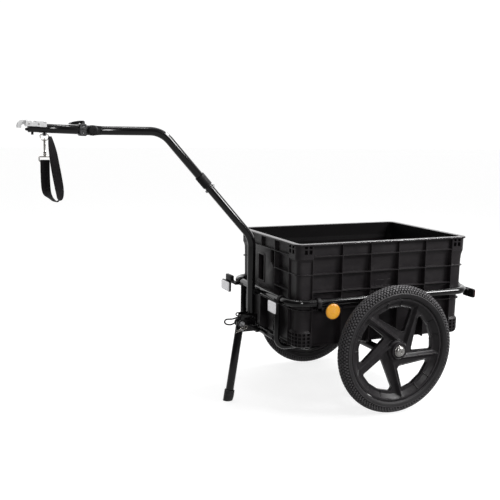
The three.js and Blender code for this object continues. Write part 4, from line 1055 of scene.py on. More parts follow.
def crate_extras():
    parts = []
    X = ([0, 1, 0], [0, 0, 1], [1, 0, 0])           # outline in y, z; depth along x
    # raised frame with its slot, on the front wall
    xf = CX - CA
    out = soften([(-44, 325), (132, 325), (132, 424), (109, 440), (109, 477), (-21, 477), (-21, 440), (-44, 424)], 2.5)
    hole = soften([(22.5, 368), (65.3, 368), (65.3, 452), (22.5, 452)], 3)
    parts.append(plate(out, xf + 0.3, xf + 18, [hole], 0.9, X))
    # the slot's raised edge
    ring_o = soften([(18.5, 364), (69.3, 364), (69.3, 456), (18.5, 456)], 4)
    ring_i = soften([(24, 369.5), (63.8, 369.5), (63.8, 450.5), (24, 450.5)], 3)
    parts.append(plate(ring_o, xf - 1.2, xf + 4, [ring_i], 0.6, X))
    # rows of small pyramids on the sill under the slot
    for r in range(5):
        for c in range(11):
            y0, z0 = -17 + c * 8.2 + (4.1 if r % 2 else 0), 344.6 + r * 4.2
            if y0 > 68:
                continue
            b = [(xf + 0.4, y0 - 3.4, z0), (xf + 0.4, y0, z0 - 2.0), (xf + 0.4, y0 + 3.4, z0), (xf + 0.4, y0, z0 + 2.0), (xf - 1.5, y0, z0)]
            parts.append((np.array(b), [(0, 1, 4), (1, 2, 4), (2, 3, 4), (3, 0, 4), (3, 2, 1, 0)]))
    # plain raised outlines on the long sides' middle panels
    for s in (-1, 1):
        y = s * (280.4 - SIDE)
        Y = ([1, 0, 0], [0, 0, 1], [0, 1, 0])
        o = soften([(-26, 374), (50, 374), (50, 394), (-26, 394)], 3)
        i = soften([(-24.6, 375.4), (48.6, 375.4), (48.6, 392.6), (-24.6, 392.6)], 2.4)
        parts.append(plate(o, min(y - s * 2, y + s * 1.1), max(y - s * 2, y + s * 1.1), [i], 0.3, Y))
    # curved gussets under the corner blocks
    for sx in (-1, 1):
        for sy in (-1, 1):
            for t in (38.0, 46.0, 54.0):
                a = math.radians(t)
                n = np.array([sx * math.cos(a), sy * math.sin(a)])
                tt = np.array([-n[1], n[0]])
                c = np.array([CX + sx * XC, sy * YC])
                sec = [(13.6, 446), (15.6, 446), (16.4, 458), (19.2, 468), (21.0, 474), (13.6, 474)]
                v, f = plate(sec, -0.8, 0.8, (), 0.3, ([1, 0, 0], [0, 0, 1], [0, 1, 0]))
                w = np.empty_like(v)
                w[:, :2] = c + v[:, [0]] * n + v[:, [1]] * tt
                w[:, 2] = v[:, 2]
                parts.append((w, f))
    # floor: low ribs crossing, and the moulding gate's spot
    for x in range(-200, 201, 50):
        parts.append(rbox(CX + x - 1.5, CX + x + 1.5, -160, 160, 207.9, 209.6, 0.5, 1))
    for y in range(-150, 151, 50):
        parts.append(rbox(CX - 248, CX + 248, y - 1.5, y + 1.5, 207.9, 209.6, 0.5, 1))
    parts.append(lathe([(0, 209.9), (5, 209.8), (6, 209.2), (6.4, 207.8), (0, 207.8)], 24, (CX + 12, 9, 0), (0, 0, 1)))
    # below: the runs that rest on the cradle tubes
    for y in (-100, 0, 100):
        parts.append(rbox(CX - 240, CX + 240, y - 2, y + 2, 205.05, 207, 0.4, 1))
    return merge(*parts)


crate = piece("crate_look", merge(crate_part(), crate_extras()), "crate_plastic", "crate_box", sharp=24)
# slot 1 darkens the inside faces as painted shade, slot 2 lightens the lip's top as a painted highlight
crate.data.materials.append(CRATE_IN_PAINTED_SHADE)
mid = np.zeros(len(crate.data.polygons) * 3)
crate.data.polygons.foreach_get("center", mid)
mid = mid.reshape(-1, 3) * 1000 - np.array([OX + CX, 0, 0])
# faces inside the crate, which take the darker copy as painted shade
inner = (np.abs(mid[:, 0]) < 287.4) & (np.abs(mid[:, 1]) < 287.4 - SIDE) & (mid[:, 2] > 207.9) & (mid[:, 2] < 516.6)
wall_in = np.interp(mid[:, 2], [208, 258, 462, 475, 517], [275, 275.8, 281.0, 286.8, 287.3])
inner &= (np.abs(mid[:, 0]) < wall_in) & (np.abs(mid[:, 1]) < wall_in - SIDE)
# the lip's top faces, which take the lighter copy as a painted highlight
lip = (mid[:, 2] > 514.5) & ~inner & ((np.abs(mid[:, 0]) > 286.3) | (np.abs(mid[:, 1]) > 286.3 - SIDE))
crate.data.materials.append(CRATE_LIP_PAINTED_HIGHLIGHT)
crate.data.polygons.foreach_set("material_index", (inner + 2 * lip).astype(np.int32))


# ------------------------------------------------------------------ frame tubes
RAIL = dict(z=345.0, front=-322.0, rear=314.0, y=220.0, r=11.0)


def cyl_joint(c1, a1, r1, c2, a2, r2, sense=1, n=48):
    """Curve where a small tube (c1, a1, r1) meets a big one (c2, a2, r2)."""
    a1, a2 = unit(a1), unit(a2)
    u = unit(np.cross(a1, a2)) if np.linalg.norm(np.cross(a1, a2)) > 0.1 else unit(np.cross(a1, [0, 0.3, 1]))
    w = np.cross(a1, u)
    pts = []
    for k in range(n):
        t = 2 * math.pi * k / n
        p = np.array(c1, float) + r1 * (math.cos(t) * u + math.sin(t) * w)
        d = p - np.array(c2, float)
        d0, dv = d - a2 * (d @ a2), a1 - a2 * (a1 @ a2)
        A, B, C = dv @ dv, 2 * d0 @ dv, d0 @ d0 - r2 * r2
        disc = max(0.0, B * B - 4 * A * C)
        s = (-B - sense * math.sqrt(disc)) / (2 * A)
        pts.append(p + a1 * s)
    return np.array(pts)


def bead(P, r=1.7, seed=0):
    """Weld bead with its ripples along a closed curve."""
    dense = []
    n = len(P)
    for i in range(n):
        for k in range(3):
            dense.append(P[i] + (P[(i + 1) % n] - P[i]) * k / 3)
    dense = np.array(dense)
    t = np.arange(len(dense))
    rr = r * (1 + 0.13 * np.sin(t * 2 * math.pi / 6.0 + seed) + 0.05 * np.sin(t * 0.37 + seed * 2))
    return sweep(dense, rr, 10, closed=True)


rail_c = [(314, 0.4, 345), (314, 220, 345), (-322, 220, 345), (-322, -220, 345), (314, -220, 345), (314, -0.4, 345)]
piece("upper_rail_look", merge(sweep(rounded(rail_c, 55, 4), 11, 40, wall=1.5, first=(0, 0, 1), edge=0.05)),
      "frame_paint", "upper_rail", sharp=40)
top = 345 - 11 - 0.3
for side_name, y in (("left", -128.5), ("right", 128.5)):
    path = rounded([(-324.5, y, top + 1.2), (-324.5, y, 195.6), (319, y, 195.6), (319, y, top + 1.2)], [31, 27], 4)
    beads = [bead(cyl_joint((-324.5, y, 300), (0, 0, 1), 9.4, (-322, 0, 345), (0, 1, 0), 11.0), 1.6, y),
             bead(cyl_joint((319, y, 300), (0, 0, 1), 9.4, (314, 0, 345), (0, 1, 0), 11.0), 1.6, y + 1)]
    piece(f"cradle_{side_name}_look", merge(sweep(path, 9, 32, wall=1.5, edge=0.05), *beads), "frame_paint",
          f"cradle_tube_{side_name}", sharp=40)
yb = 128.5 - 9 - 0.3
cb = [sweep([(-324.5, -yb - 1, 223), (-324.5, yb + 1, 223)], 10, 36, wall=1.5, first=(0, 0, 1), edge=0.05)]
for s in (-1, 1):
    cb.append(bead(cyl_joint((-324.5, 0, 223), (0, s, 0), 10.2, (-324.5, s * 128.5, 223), (0, 0, 1), 9.0) if False else
                   np.array([(-324.5 + 10.1 * math.cos(t), s * (yb + 0.2 - 1.2 * abs(math.sin(t))), 223 + 10.1 * math.sin(t))
                             for t in np.linspace(0, 2 * math.pi, 48, endpoint=False)]), 1.5, s))
piece("crossbar_look", merge(*cb), "frame_paint", "front_crossbar", sharp=40)
ab = [sweep([(0, -225.2, 173.6), (0, 225.2, 173.6)], 12.5, 40, wall=2, first=(0, 0, 1), edge=0.05)]
for s in (-1, 1):
    ab.append(bead(np.array([(12.6 * math.cos(t), s * 224.2, 173.6 + 12.6 * math.sin(t))
                             for t in np.linspace(0, 2 * math.pi, 48, endpoint=False)]), 1.4, s))
    for y in (128.5,):
        # saddle welds between the axle beam and the cradle tubes above it
        for dx in (-1, 1):
            P = np.array([(dx * 5.5, s * y + q, 186.3 + 0.2 * math.sin(q)) for q in np.linspace(-9, 9, 14)])
            ab.append(sweep(*ball_ends(P, 1.6), 10, edge=0))
piece("axle_beam_look", merge(*ab), "frame_paint", "axle_beam", sharp=40)
for side_name, s in (("left", -1), ("right", 1)):
    y0, y1, y2 = s * 225.3, s * 230.3, s * 246.4
    outline = soften([(-24, 160), (24, 160), (24, 176)], [3, 3, 4])[:] + [(17 * math.cos(t), 196 + 17 * math.sin(t)) for t in np.linspace(0.15, math.pi - 0.15, 20)] + [(-24, 176)]
    hole = arc(0, 196, 6.3, n=28)
    parts = [plate(outline, min(y0, y1), max(y0, y1), [hole], 0.5)]
    prof = [(6.3, 0), (6.3, abs(y2 - y1) + 0.5), (12.0, abs(y2 - y1) + 0.5), (12.5, abs(y2 - y1)), (12.5, 0)]
    parts.append(lathe(prof, 40, (0, y1 - s * 0.5, 196), (0, s, 0), closed=True))
    parts.append(bead(np.array([(12.7 * math.cos(t), y1 + s * 0.3, 196 + 12.7 * math.sin(t)) for t in np.linspace(0, 2 * math.pi, 40, endpoint=False)]), 1.3, s))
    piece(f"axle_plate_{side_name}_look", merge(*parts), "frame_paint", f"axle_plate_{side_name}", sharp=35)


# ------------------------------------------------------------------ wheels
VALVE = math.radians(163)
WIN = [(9.5, -60.7), (14.5, -53.5), (110, -43.2), (118, -52), (95.5, -88.5), (62.5, -114.5), (29, -126.8)]
WIN_IN = inset(WIN, 5.0)
RIMP = [(131, -1.5), (138, -1.5), (150, -12), (151, -14.5), (157.5, -14.5), (157.5, -12.5), (149, -6), (149, 6), (157.5, 12.5),
        (157.5, 14.5), (151, 14.5), (142, 3.5), (131, 3.5)]
FINS = [105.3, 85.9, 33.3, 13.9, -38.7, -58.1, -110.7, -130.1, 177.3, 157.9]


def wheel_f(x, y, z):
    r = hyp(x, z)
    win = np.full(np.shape(x), 1e9)
    ridge = np.full(np.shape(x), 1e9)
    for k in range(5):
        a = k * 2 * math.pi / 5
        co, si = math.cos(a), math.sin(a)
        xr, zr = x * co + z * si, -x * si + z * co
        near = win
        d = sd_poly(xr, zr, WIN_IN) - 5.0
        win = np.minimum(near, d)
        # roof along the spoke
        u = np.abs(zr + 25.0)
        h = (u * 0.826 + (-y - 14.0) * 0.563)
        rd = smax(h, np.maximum(xr - 152, 16 - xr), 1.5)
        ridge = np.minimum(ridge, rd)
    web = prism(r - 133.0, y, -1.5, 3.5, 0.3)
    web = smin(web, prism(sd_poly(r, y, RIMP) + 0.0, 0 * y, -1, 1) if False else sd_poly(r, y, inset(RIMP, 0.6)) - 0.6, 2.2)
    web = smax(web, -win, 1.0)
    # beads round the windows, low in front and deeper behind
    edge = np.abs(win - 1.5) - 1.25
    inring = r - 140
    front = np.maximum(np.maximum(edge, inring), np.abs(y + 1.6) - 1.1)
    back = np.maximum(np.maximum(edge, inring), np.abs(y - 7.2) - 4.2)
    d = smin(web, front, 1.2)
    d = smin(d, back, 1.5)
    ridge = np.maximum(ridge, y - 2.0)
    ridge = np.maximum(ridge, r - 152.5)
    ridge = np.maximum(ridge, -(win - 0.4))
    d = smin(d, ridge, 2.4)
    # hub with its flare
    hub = prism(r - 25.0, y, -24, 24, 1.2)
    flare = prism(r - np.interp(y, [-24, -16, -10, 6, 16, 24], [23, 26, 31, 31, 25, 20]), y, -22, 22, 1.0)
    d = smin(d, smin(hub, flare, 3.0), 5.0)
    d = smax(d, -prism(r - 23.0, y, -26, -22.6), 0.6)
    d = smin(d, prism(r - 20.2, y, -30, -20, 0.8) + 0.0, 0.8) if False else d
    bore = np.minimum(np.minimum(prism(r - 14.3, y, -30, -15.7), prism(r - 14.3, y, 15.7, 30)), r - 10.0)
    d = np.maximum(d, -bore)
    # fins over the slope of the rim
    slope = np.interp(r, [131, 138, 150, 152], [-1.5, -1.5, -12, -14.0])
    for a in FINS:
        t = math.radians(a)
        c, s = math.cos(t), math.sin(t)
        off = np.abs(-x * s + z * c) - 0.95
        along = x * c + z * s
        fin = np.maximum(np.maximum(off, np.abs(along - 142) - 9.5), np.maximum(slope - 3.4 - y, y - 1))
        d = smin(d, fin, 1.0)
    # valve hole
    cv, sv = math.cos(VALVE), math.sin(VALVE)
    q = hyp(-x * sv + z * cv, y - 1.0) - 3.7
    d = np.maximum(d, -np.maximum(q, np.abs(x * cv + z * sv - 130) - 22))
    return d


WV, WF = skin(wheel_f, (-159.2, -26.2, -159.2), (159.2, 26.2, 159.2), 1.5)


def tyre_part():
    """Casing open towards the rim, with rows of blocks, in the wheel's own place."""
    rc = 173.0
    prof = []
    for p in np.linspace(-134, 134, 61):
        a = math.radians(p)
        q = abs(p)
        rr = 17.7 if q < 74 else 17.7 + (22.2 - 17.7) * min(1, (q - 74) / 12)
        if 87 < q < 89.5 or 103 < q < 106:
            rr += 0.7
        if q > 118:
            rr = 22.6 - (q - 118) * 0.16
        prof.append((rc + rr * math.cos(a), rr * math.sin(a)))
    for p in np.linspace(134, -134, 25):
        a = math.radians(p)
        rr = 15.6
        prof.append((rc + rr * math.cos(a), rr * math.sin(a)))
    parts = [lathe(prof, 180, (0, 0, 0), (0, 1, 0), closed=True)]
    # blocks: rows across the section, angle of the row's middle, half width, height over the casing, count, offset
    rows = [(0.0, 7.6, 23.0, 0.0, 0.34, 0.0), (18.0, 6.0, 22.9, 0.5, 0.31, 1.2), (-18.0, 6.0, 22.9, 0.5, 0.31, -1.2),
            (36.0, 6.4, 22.9, 0.0, 0.31, 1.6), (-36.0, 6.4, 22.9, 0.0, 0.31, -1.6), (54.0, 6.8, 22.9, 0.5, 0.29, 0.8), (-54.0, 6.8, 22.9, 0.5, 0.29, -0.8),
            (72.0, 7.6, 22.8, 0.0, 0.24, 0.0), (-72.0, 7.6, 22.8, 0.0, 0.24, 0.0)]
    N = 112
    pitch = 2 * math.pi / N
    for phi0, half, topr, shift, fill, lean in rows:
        prof_a = [(-half, 17.0), (-half * 0.93, topr - 0.5), (-half * 0.8, topr), (half * 0.8, topr), (half * 0.93, topr - 0.5), (half, 17.0)]
        for k in range(N):
            c = (k + shift) * pitch
            wv = fill * (1.0 + 0.12 * math.sin(k * 2.4))
            v = []
            for side_t, shrink in ((-1, 1.0), (-1, 0.86), (1, 0.86), (1, 1.0)):
                for i, (dp, rr) in enumerate(prof_a):
                    inner = rr < 20
                    top_edge = shrink < 0.9
                    r2 = rr if (top_edge or inner) else min(rr, topr - 0.55)
                    th = c + side_t * wv * pitch * (shrink if not inner else 1.04) + lean * dp / half * 0.0028
                    ph = math.radians(phi0 + dp)
                    R = rc + r2 * math.cos(ph)
                    yy = r2 * math.sin(ph)
                    v.append((R * math.cos(th), yy, R * math.sin(th)))
            f = []
            m2 = len(prof_a)
            for i in range(3):
                for j in range(m2 - 1):
                    f.append((i * m2 + j, i * m2 + j + 1, (i + 1) * m2 + j + 1, (i + 1) * m2 + j))
            f.append(tuple(range(m2)))
            f.append(tuple(reversed(range(3 * m2, 4 * m2))))
            f.append((0, m2, 2 * m2, 3 * m2))
            f.append((m2 - 1, 2 * m2 - 1, 3 * m2 - 1, 4 * m2 - 1)[::-1])
            parts.append((np.array(v), f))
    return merge(*parts)


TV, TF = tyre_part()
# the lowest point rests on the floor
for side_name, s in (("left", -1), ("right", 1)):
    flip = np.array([1, 1, 1]) if s < 0 else np.array([-1, -1, 1])
    at = np.array([0, s * 277.4, 196])
    piece(f"{side_name}_wheel_look", (WV * flip + at, WF), "wheel_plastic", f"{side_name}_wheel", sharp=50)
    piece(f"{side_name}_tyre_look", (TV * flip + at, TF), "tyre_rubber", f"{side_name}_tyre", sharp=38)
    # domed bolt head with its hex socket, and the shank
    ax = (0, s, 0)
    o = (0, s * 277.4, 196)
    prof = [(0, 30.2), (3.9, 30.2), (4.1, 33.0), (4.8, 33.45), (8, 33.0), (11.2, 31.9), (13.4, 30.3), (14.6, 28.6), (15.0, 27.0),
            (15.0, 25.2), (14.5, 24.5), (6.2, 24.4), (6.0, 24.0), (6.0, -45.4), (5.4, -46), (0, -46)]

    def socket(a, r, h):
        if r < 4.5 and h > 29:
            k = (a + math.pi / 6) % (math.pi / 3) - math.pi / 6
            return math.cos(math.pi / 6) / math.cos(k)
        return 1.0
    rings = [lathe(prof, 48, o, ax, rfun=socket),
             lathe([(14.9, 24.9), (16.6, 24.7), (16.9, 24.3), (16.6, 24.05), (9, 24.05), (9, 24.9)], 40, o, ax, closed=True)]
    piece(f"{side_name}_axle_bolt_look", merge(*rings), "zinc_plate", f"{side_name}_axle_bolt", mat=STEEL, sharp=35)
    # valve with its rubber foot, thread and cap
    cv, sv = math.cos(VALVE), math.sin(VALVE)
    d = np.array([cv, 0, sv]) * flip
    vo = np.array([0, 1.0, 0]) * flip + at
    prof = [(0, 109.0), (2.2, 109.0), (2.5, 109.6), (2.5, 113.6), (2.9, 114.2)]
    for i in range(5):
        prof += [(3.15, 114.6 + i * 1.3), (2.75, 115.2 + i * 1.3)]
    prof += [(3.2, 121.4), (3.2, 148.0), (2.6, 148.5), (0, 148.5)]

    def knurl(a, r, h):
        return 1.0 + (0.05 * math.cos(14 * a) if 109.2 < h < 114 else 0)
    piece(f"{side_name}_valve_look", lathe(prof, 56, vo, d, rfun=knurl), "soft_rubber", f"{side_name}_valve", sharp=35)


# ------------------------------------------------------------------ drawbar
DR, DB2, DB1 = 12.5, np.array([-354, 0, 511.0]), np.array([-642, 0, 833.0])
slope = DB1 - DB2
sdir = unit(slope)
CAT = DB2 + slope * 0.5545
at_c = lambda d: CAT + sdir * d
lower = rounded([(-354, 0, 229), DB2, at_c(-0.2)], 70, 3)
piece("lower_drawbar_look", sweep(lower, DR, 48, wall=1.5), "frame_paint", "lower_drawbar", sharp=40)
upper = rounded([at_c(0.2), DB1, (-843 + 25.3, 0, 833)], 80, 3)
piece("upper_drawbar_look", sweep(upper, DR, 48, wall=1.5), "frame_paint", "upper_drawbar", sharp=40)
cp = [(12.85, -20), (14.2, -20), (15.0, -19.6), (15.2, -18.6), (15.2, -12), (14.8, -11.4), (14.8, -10.4), (15.2, -9.8), (15.2, 9.8), (14.8, 10.4),
      (14.8, 11.4), (15.2, 12), (15.2, 18.6), (15.0, 19.6), (14.2, 20), (12.85, 20)]
piece("drawbar_collar_look", lathe(cp, 48, CAT, sdir, closed=True), "black_plastic", "drawbar_collar", sharp=30)
sup = np.array([-sdir[2], 0, sdir[0]])
across = -sup
bb = at_c(-31.5)
piece("collar_bolt_look", merge(
    sweep(*ball_ends([bb - across * 17.5, bb + across * 17.5], 2.5), 20, edge=0),
    lathe([(0, 15.9), (3.2, 15.7), (4.5, 14.9), (4.9, 13.6), (4.9, 13.0), (0, 13.0)], 28, bb, across),
    hexagon(8, -16.6, -13.0, bb, across)), "zinc_plate", "collar_bolt", sharp=35)

# ------------------------------------------------------------------ bracket and stand
SP, SF = np.array([-389.6, 245.0]), np.array([-427.3, 0.0])
leg = unit(SF - SP)
LEG3 = np.array([leg[0], 0, leg[1]])
down = math.atan2(leg[1], leg[0])
PIN = SP + 17 * leg
# each cheek ends in a nose that the lock pin travels round, with a holed tab above it
tab = [(-393 + 6.5 * math.cos(t), 270 + 6.5 * math.sin(t)) for t in np.linspace(1.2, 4.8, 20)]
nose = [(SP[0] + 13.5 * math.cos(t), SP[1] + 13.5 * math.sin(t)) for t in np.linspace(1.815, 4.772, 30)]
b_out = [(-338, 220), (-338, 274), (-384, 277)] + tab + nose + [(-388.8, 220)]
b_holes = [arc(SP[0], SP[1], 4.5, n=24), arc(-393, 270, 3.2, n=20), arc(-354, 262, 4.5, n=24)]
br = [plate(b_out, -16, -13, b_holes, 0.45), plate(b_out, 13, 16, b_holes, 0.45), rbox(-341.2, -338, -13.5, 13.5, 222, 272, 0.4)]


def pad_f(x, y, z):
    d = box3(x, y, z, -341, -326, -16, 16, 214, 232, 1.2)
    return smax(d, -(hyp(x + 324.5, z - 223) - 10.3), 0.5)


br.append(skin(pad_f, (-343, -18, 212), (-324, 18, 234), 0.9, 2))
for s in (-1, 1):
    # weld runs from the cheeks to the back web
    P = np.array([(-339.6, s * 13.2 - s * 1.0, z) for z in np.linspace(224, 270, 40)])
    br.append(sweep(*ball_ends(P, 1.5 + 0.18 * np.sin(np.arange(40) * 1.3)), 10, edge=0))
piece("drawbar_bracket_look", merge(*br), "frame_paint", "drawbar_bracket", sharp=35)
piece("bracket_bolt_look", merge(
    sweep([(-354, -18, 262), (-354, 22, 262)], 4, 24, edge=0.6),
    hexagon(12.6, 16.3, 21.5, (-354, 0, 262), (0, -1, 0), 0.4),
    lathe([(4.2, 16.05), (8.6, 16.05), (8.9, 16.4), (8.6, 16.9), (4.2, 16.9)], 32, (-354, 0, 262), (0, -1, 0), closed=True),
    hexagon(12.6, 16.2, 20.6, (-354, 0, 262), (0, 1, 0))), "frame_paint", "bracket_bolt", sharp=35)


def saddle_f(x, y, z):
    d = box3(x, y, z, -352, -324, -13, 13, 336, 354, 1.4)
    d = smax(d, -(hyp(x + 322, z - 345) - 11.5), 0.6)
    return smax(d, -(hyp(x + 354, y) - 13.0), 0.6)


piece("rail_saddle_look", skin(saddle_f, (-354, -15, 334), (-322, 15, 356), 0.8, 2), "frame_paint", "rail_saddle", sharp=45)


def P_leg(d):
    return np.array([SP[0] + leg[0] * d, 0, SP[1] + leg[1] * d])


LEN = float(np.linalg.norm(SF - SP))
leg_parts = [sweep([P_leg(-13), P_leg(LEN - 9)], 12.5, 40, wall=1.6, edge=0.7)]
for s in (-1, 1):
    # pressed dimples round the pivot and pin holes
    for at_, rr in ((SP, 6.2), (PIN, 4.8)):
        leg_parts.append(bead(np.array([(at_[0] + rr * math.cos(t), s * math.sqrt(max(0, 12.5 ** 2 - (rr * math.cos(t)) ** 2)) , at_[1] + rr * math.sin(t))
                                        for t in np.linspace(0, 2 * math.pi, 32, endpoint=False)]), 0.35, s))
piece("stand_leg_look", merge(*leg_parts), "frame_paint", "stand_leg", sharp=40)
fp = [(0, -2), (12.9, -2), (12.9, -33), (13.6, -33.4), (15.2, -33), (15.9, -31.8), (16.0, -29.5), (15.4, -28.8), (15.4, -27.2), (16.0, -26.6),
      (16.0, -23), (15.4, -22.4), (15.4, -20.8), (16.0, -20.2), (16.0, -16.6), (15.4, -16), (15.4, -14.4), (16, -13.8), (16.0, 6), (16.0, 12), (0, 12)]
fv, ffc = lathe(fp, 56, P_leg(LEN), LEG3)
fv[:, 2] = np.maximum(fv[:, 2], 0.0)
# rounded sole edge
low = fv[:, 2] < 1.2
c0 = np.array([SF[0], 0])
rad = hyp(fv[:, 0] - c0[0], fv[:, 1])
k = np.where(low & (rad > 10), 1 - 0.05 * (1.2 - fv[:, 2]) / 1.2, 1.0)
fv[:, 0] = c0[0] + (fv[:, 0] - c0[0]) * k
fv[:, 1] *= k
piece("stand_foot_look", (fv, ffc), "soft_rubber", "stand_foot", sharp=35)
piece("stand_pivot_bolt_look", merge(
    sweep([(SP[0], -18, SP[1]), (SP[0], 23, SP[1])], 4, 24, edge=0.6),
    hexagon(12.2, 16.4, 21.5, (SP[0], 0, SP[1]), (0, -1, 0), 0.5),
    lathe([(4.2, 16.05), (8.4, 16.05), (8.7, 16.35), (8.4, 16.8), (4.2, 16.8)], 32, (SP[0], 0, SP[1]), (0, -1, 0), closed=True)),
    "zinc_plate", "stand_pivot_bolt", sharp=35)
piece("stand_pivot_nut_look", merge(
    lathe([(4.2, 16.1), (8.2, 16.1), (8.4, 16.4), (8.2, 16.7), (4.2, 16.7)], 32, (SP[0], 0, SP[1]), (0, 1, 0), closed=True),
    hexagon(12.4, 16.7, 21.5, (SP[0], 0, SP[1]), (0, 1, 0), 0.6)), "zinc_plate", "stand_pivot_nut", sharp=35)
piece("lock_pin_look", merge(
    sweep([(PIN[0], -28, PIN[1]), (PIN[0], 18, PIN[1])], 3, 28, edge=0.9),
    lathe([(0, 20), (4.6, 20), (5.3, 19.4), (5.5, 18.6), (5.5, 17.2), (5.2, 16.5), (0, 16.4)], 32, (PIN[0], 0, PIN[1]), (0, 1, 0))),
    "zinc_plate", "lock_pin", sharp=35)
cdir, cup = np.array([math.cos(0.29), 0, math.sin(0.29)]), np.array([-math.sin(0.29), 0, math.cos(0.29)])
Qc = lambda a, b: np.array([PIN[0], -24, PIN[1]]) + cdir * a + cup * b
clip_pts = [Qc(-23, 0), Qc(9, 0)]
for i in range(9):
    a = -math.pi / 2 + 1.55 * math.pi * i / 8
    clip_pts.append(Qc(14 + 5 * math.cos(a), 5 + 5 * math.sin(a)))
clip_pts += [Qc(4.5, 6.6), Qc(0, 7.2), Qc(-7, 4.6), Qc(-12, 4.4), Qc(-18, 7.0)]
piece("lock_clip_look", sweep(*ball_ends(spline(clip_pts, 8), 1.1), 16, edge=0), "bright_wire", "lock_clip", sharp=60)
ring_pts = [(-391, -17.9, 272.5), (-398, -19.3, 271.5), (-410, -19.3, 268), (-425, -19.3, 265), (-437, -19.3, 265.5), (-446, -19.3, 264.5),
            (-449.5, -19.3, 258.5), (-446, -19.3, 252), (-437, -19.3, 248.5), (-427, -19.3, 248), (-416.5, -19.3, 252), (-408.5, -19.3, 260.5),
            (-400, -19.3, 266.5), (-393.5, -17.9, 268)]
piece("pull_ring_look", sweep(*ball_ends(spline(ring_pts, 8), 2.3), 18, edge=0), "frame_paint", "pull_ring", mat=PLASTIC, sharp=60)

# ------------------------------------------------------------------ hitch arm
TH = math.radians(1.8)
HX, HZ = -843.0, 833.0


def arm_map(v):
    out = np.array(v, float).copy()
    x, z = v[:, 0].copy(), v[:, 2].copy()
    out[:, 0] = HX + x * math.cos(TH) + z * math.sin(TH)
    out[:, 2] = HZ - x * math.sin(TH) + z * math.cos(TH)
    return out


ARM = lambda part: mapped(part, arm_map)


def fork_f(x, y, z):
    # hinge centre at the origin, tube towards +x
    out2 = sd_poly(x, z, [(18, -12.3), (18, 12.3)] + [(14.4 * math.cos(t), 14.4 * math.sin(t)) for t in np.linspace(math.pi / 2, 1.5 * math.pi, 19)])
    cheeks = np.minimum(prism(out2, y, -12.3, -7.6, 0.8), prism(out2, y, 7.6, 12.3, 0.8))
    block = box3(x, y, z, 15, 25, -12.3, 12.3, -12.3, 12.3, 2.6)
    rr = hyp(y, z)
    collar = np.maximum(rr - 12.45, np.abs(x - 22.6) - 2.6)
    plug = np.maximum(rr - 10.1, np.abs(x - 35) - 15)
    d = smin(smin(cheeks, block, 1.5), np.minimum(plug, collar), 1.0)
    return np.maximum(d, -(hyp(x, z) - 4.4))


v, f = skin(fork_f, (-16, -14, -16), (52, 14, 16), 0.62, 2)
piece("hinge_fork_look", (v + np.array([HX, 0, HZ]), f), "grey_casting", "hinge_fork", mat=CAST_DARK, sharp=50)
kp = [(0, 21.2), (4.2, 21.2), (4.6, 21.8), (8.6, 21.9), (11, 21.4), (13.2, 20.4), (14.3, 19.0), (14.6, 17.5), (14.6, 15.2), (14.0, 13.4), (13.0, 12.75), (0, 12.7)]


def flutes(a, r, h):
    return 1.0 - (0.045 * max(0.0, math.cos(9 * a)) ** 2 if r > 12.5 and h < 20.5 else 0)


piece("hinge_bolt_look", merge(lathe(kp, 108, (HX, 0, HZ), (0, -1, 0), rfun=flutes),
                               sweep([(HX, -14, HZ), (HX, 19.5, HZ)], 4, 24, edge=0.6)), "black_plastic", "hinge_bolt", sharp=32)
piece("hinge_nut_look", merge(hexagon(12.4, 13.2, 18, (HX, 0, HZ), (0, 1, 0), 0.6),
                              lathe([(4.2, 12.7), (8.3, 12.7), (8.5, 12.95), (8.3, 13.3), (4.2, 13.3)], 32, (HX, 0, HZ), (0, 1, 0), closed=True)),
      "zinc_plate", "hinge_nut", sharp=35)


def tongue_f(x, y, z):
    t2 = sd_poly(x, z, [(13.2 * math.cos(t), 13.2 * math.sin(t)) for t in np.linspace(-math.pi / 2, math.pi / 2, 19)] + [(-16.5, 13.2), (-16.5, -13.2)])
    tongue = prism(t2, y, -7.3, 7.3, 0.8)
    c2 = sd_poly(x, z, [(-15.4, -12), (-15.4, 12), (-19, 16.4), (-34, 16.4), (-37.2, 13), (-37.2, -13), (-34, -16.4), (-19, -16.4)])
    clamp = prism(c2, y, -15.4, 15.4, 2.4)
    e2 = sd_poly(x, z, [(-29, 14.5), (-21, 14.5), (-21.5, 22), (-25, 25), (-28.5, 22)])
    ears = np.minimum(prism(e2, y, -8.6, -5.6, 0.6), prism(e2, y, 5.6, 8.6, 0.6))
    spig = np.maximum(hyp(y, z) - 10.1, np.abs(x + 45) - 15)
    d = smin(tongue, clamp, 2.0)
    # split line and its two cross screws' recesses
    d = smax(d, -box3(x, y, z, -40, -15, -20, -9, -0.7, 0.7), 0.4)
    for zz in (-9.0, 9.0):
        d = smax(d, -(np.maximum(hyp(x + 26.5, z - zz) - 3.3, np.abs(y + 16.5) - 3.2)), 0.4)
    for xx in (-21.5, -31.5):
        d = smax(d, -(box3(x, y, z, xx - 0.7, xx + 0.7, -17, -14.9, -13, 13)), 0.4)
    d = smin(d, ears, 1.0)
    d = np.minimum(d, spig)
    peg = np.maximum(hyp(x + 25, z - 21.2) - 2.0, np.abs(y) - 9.4)
    d = np.minimum(d, peg)
    return np.maximum(d, -(hyp(x, z) - 4.4))


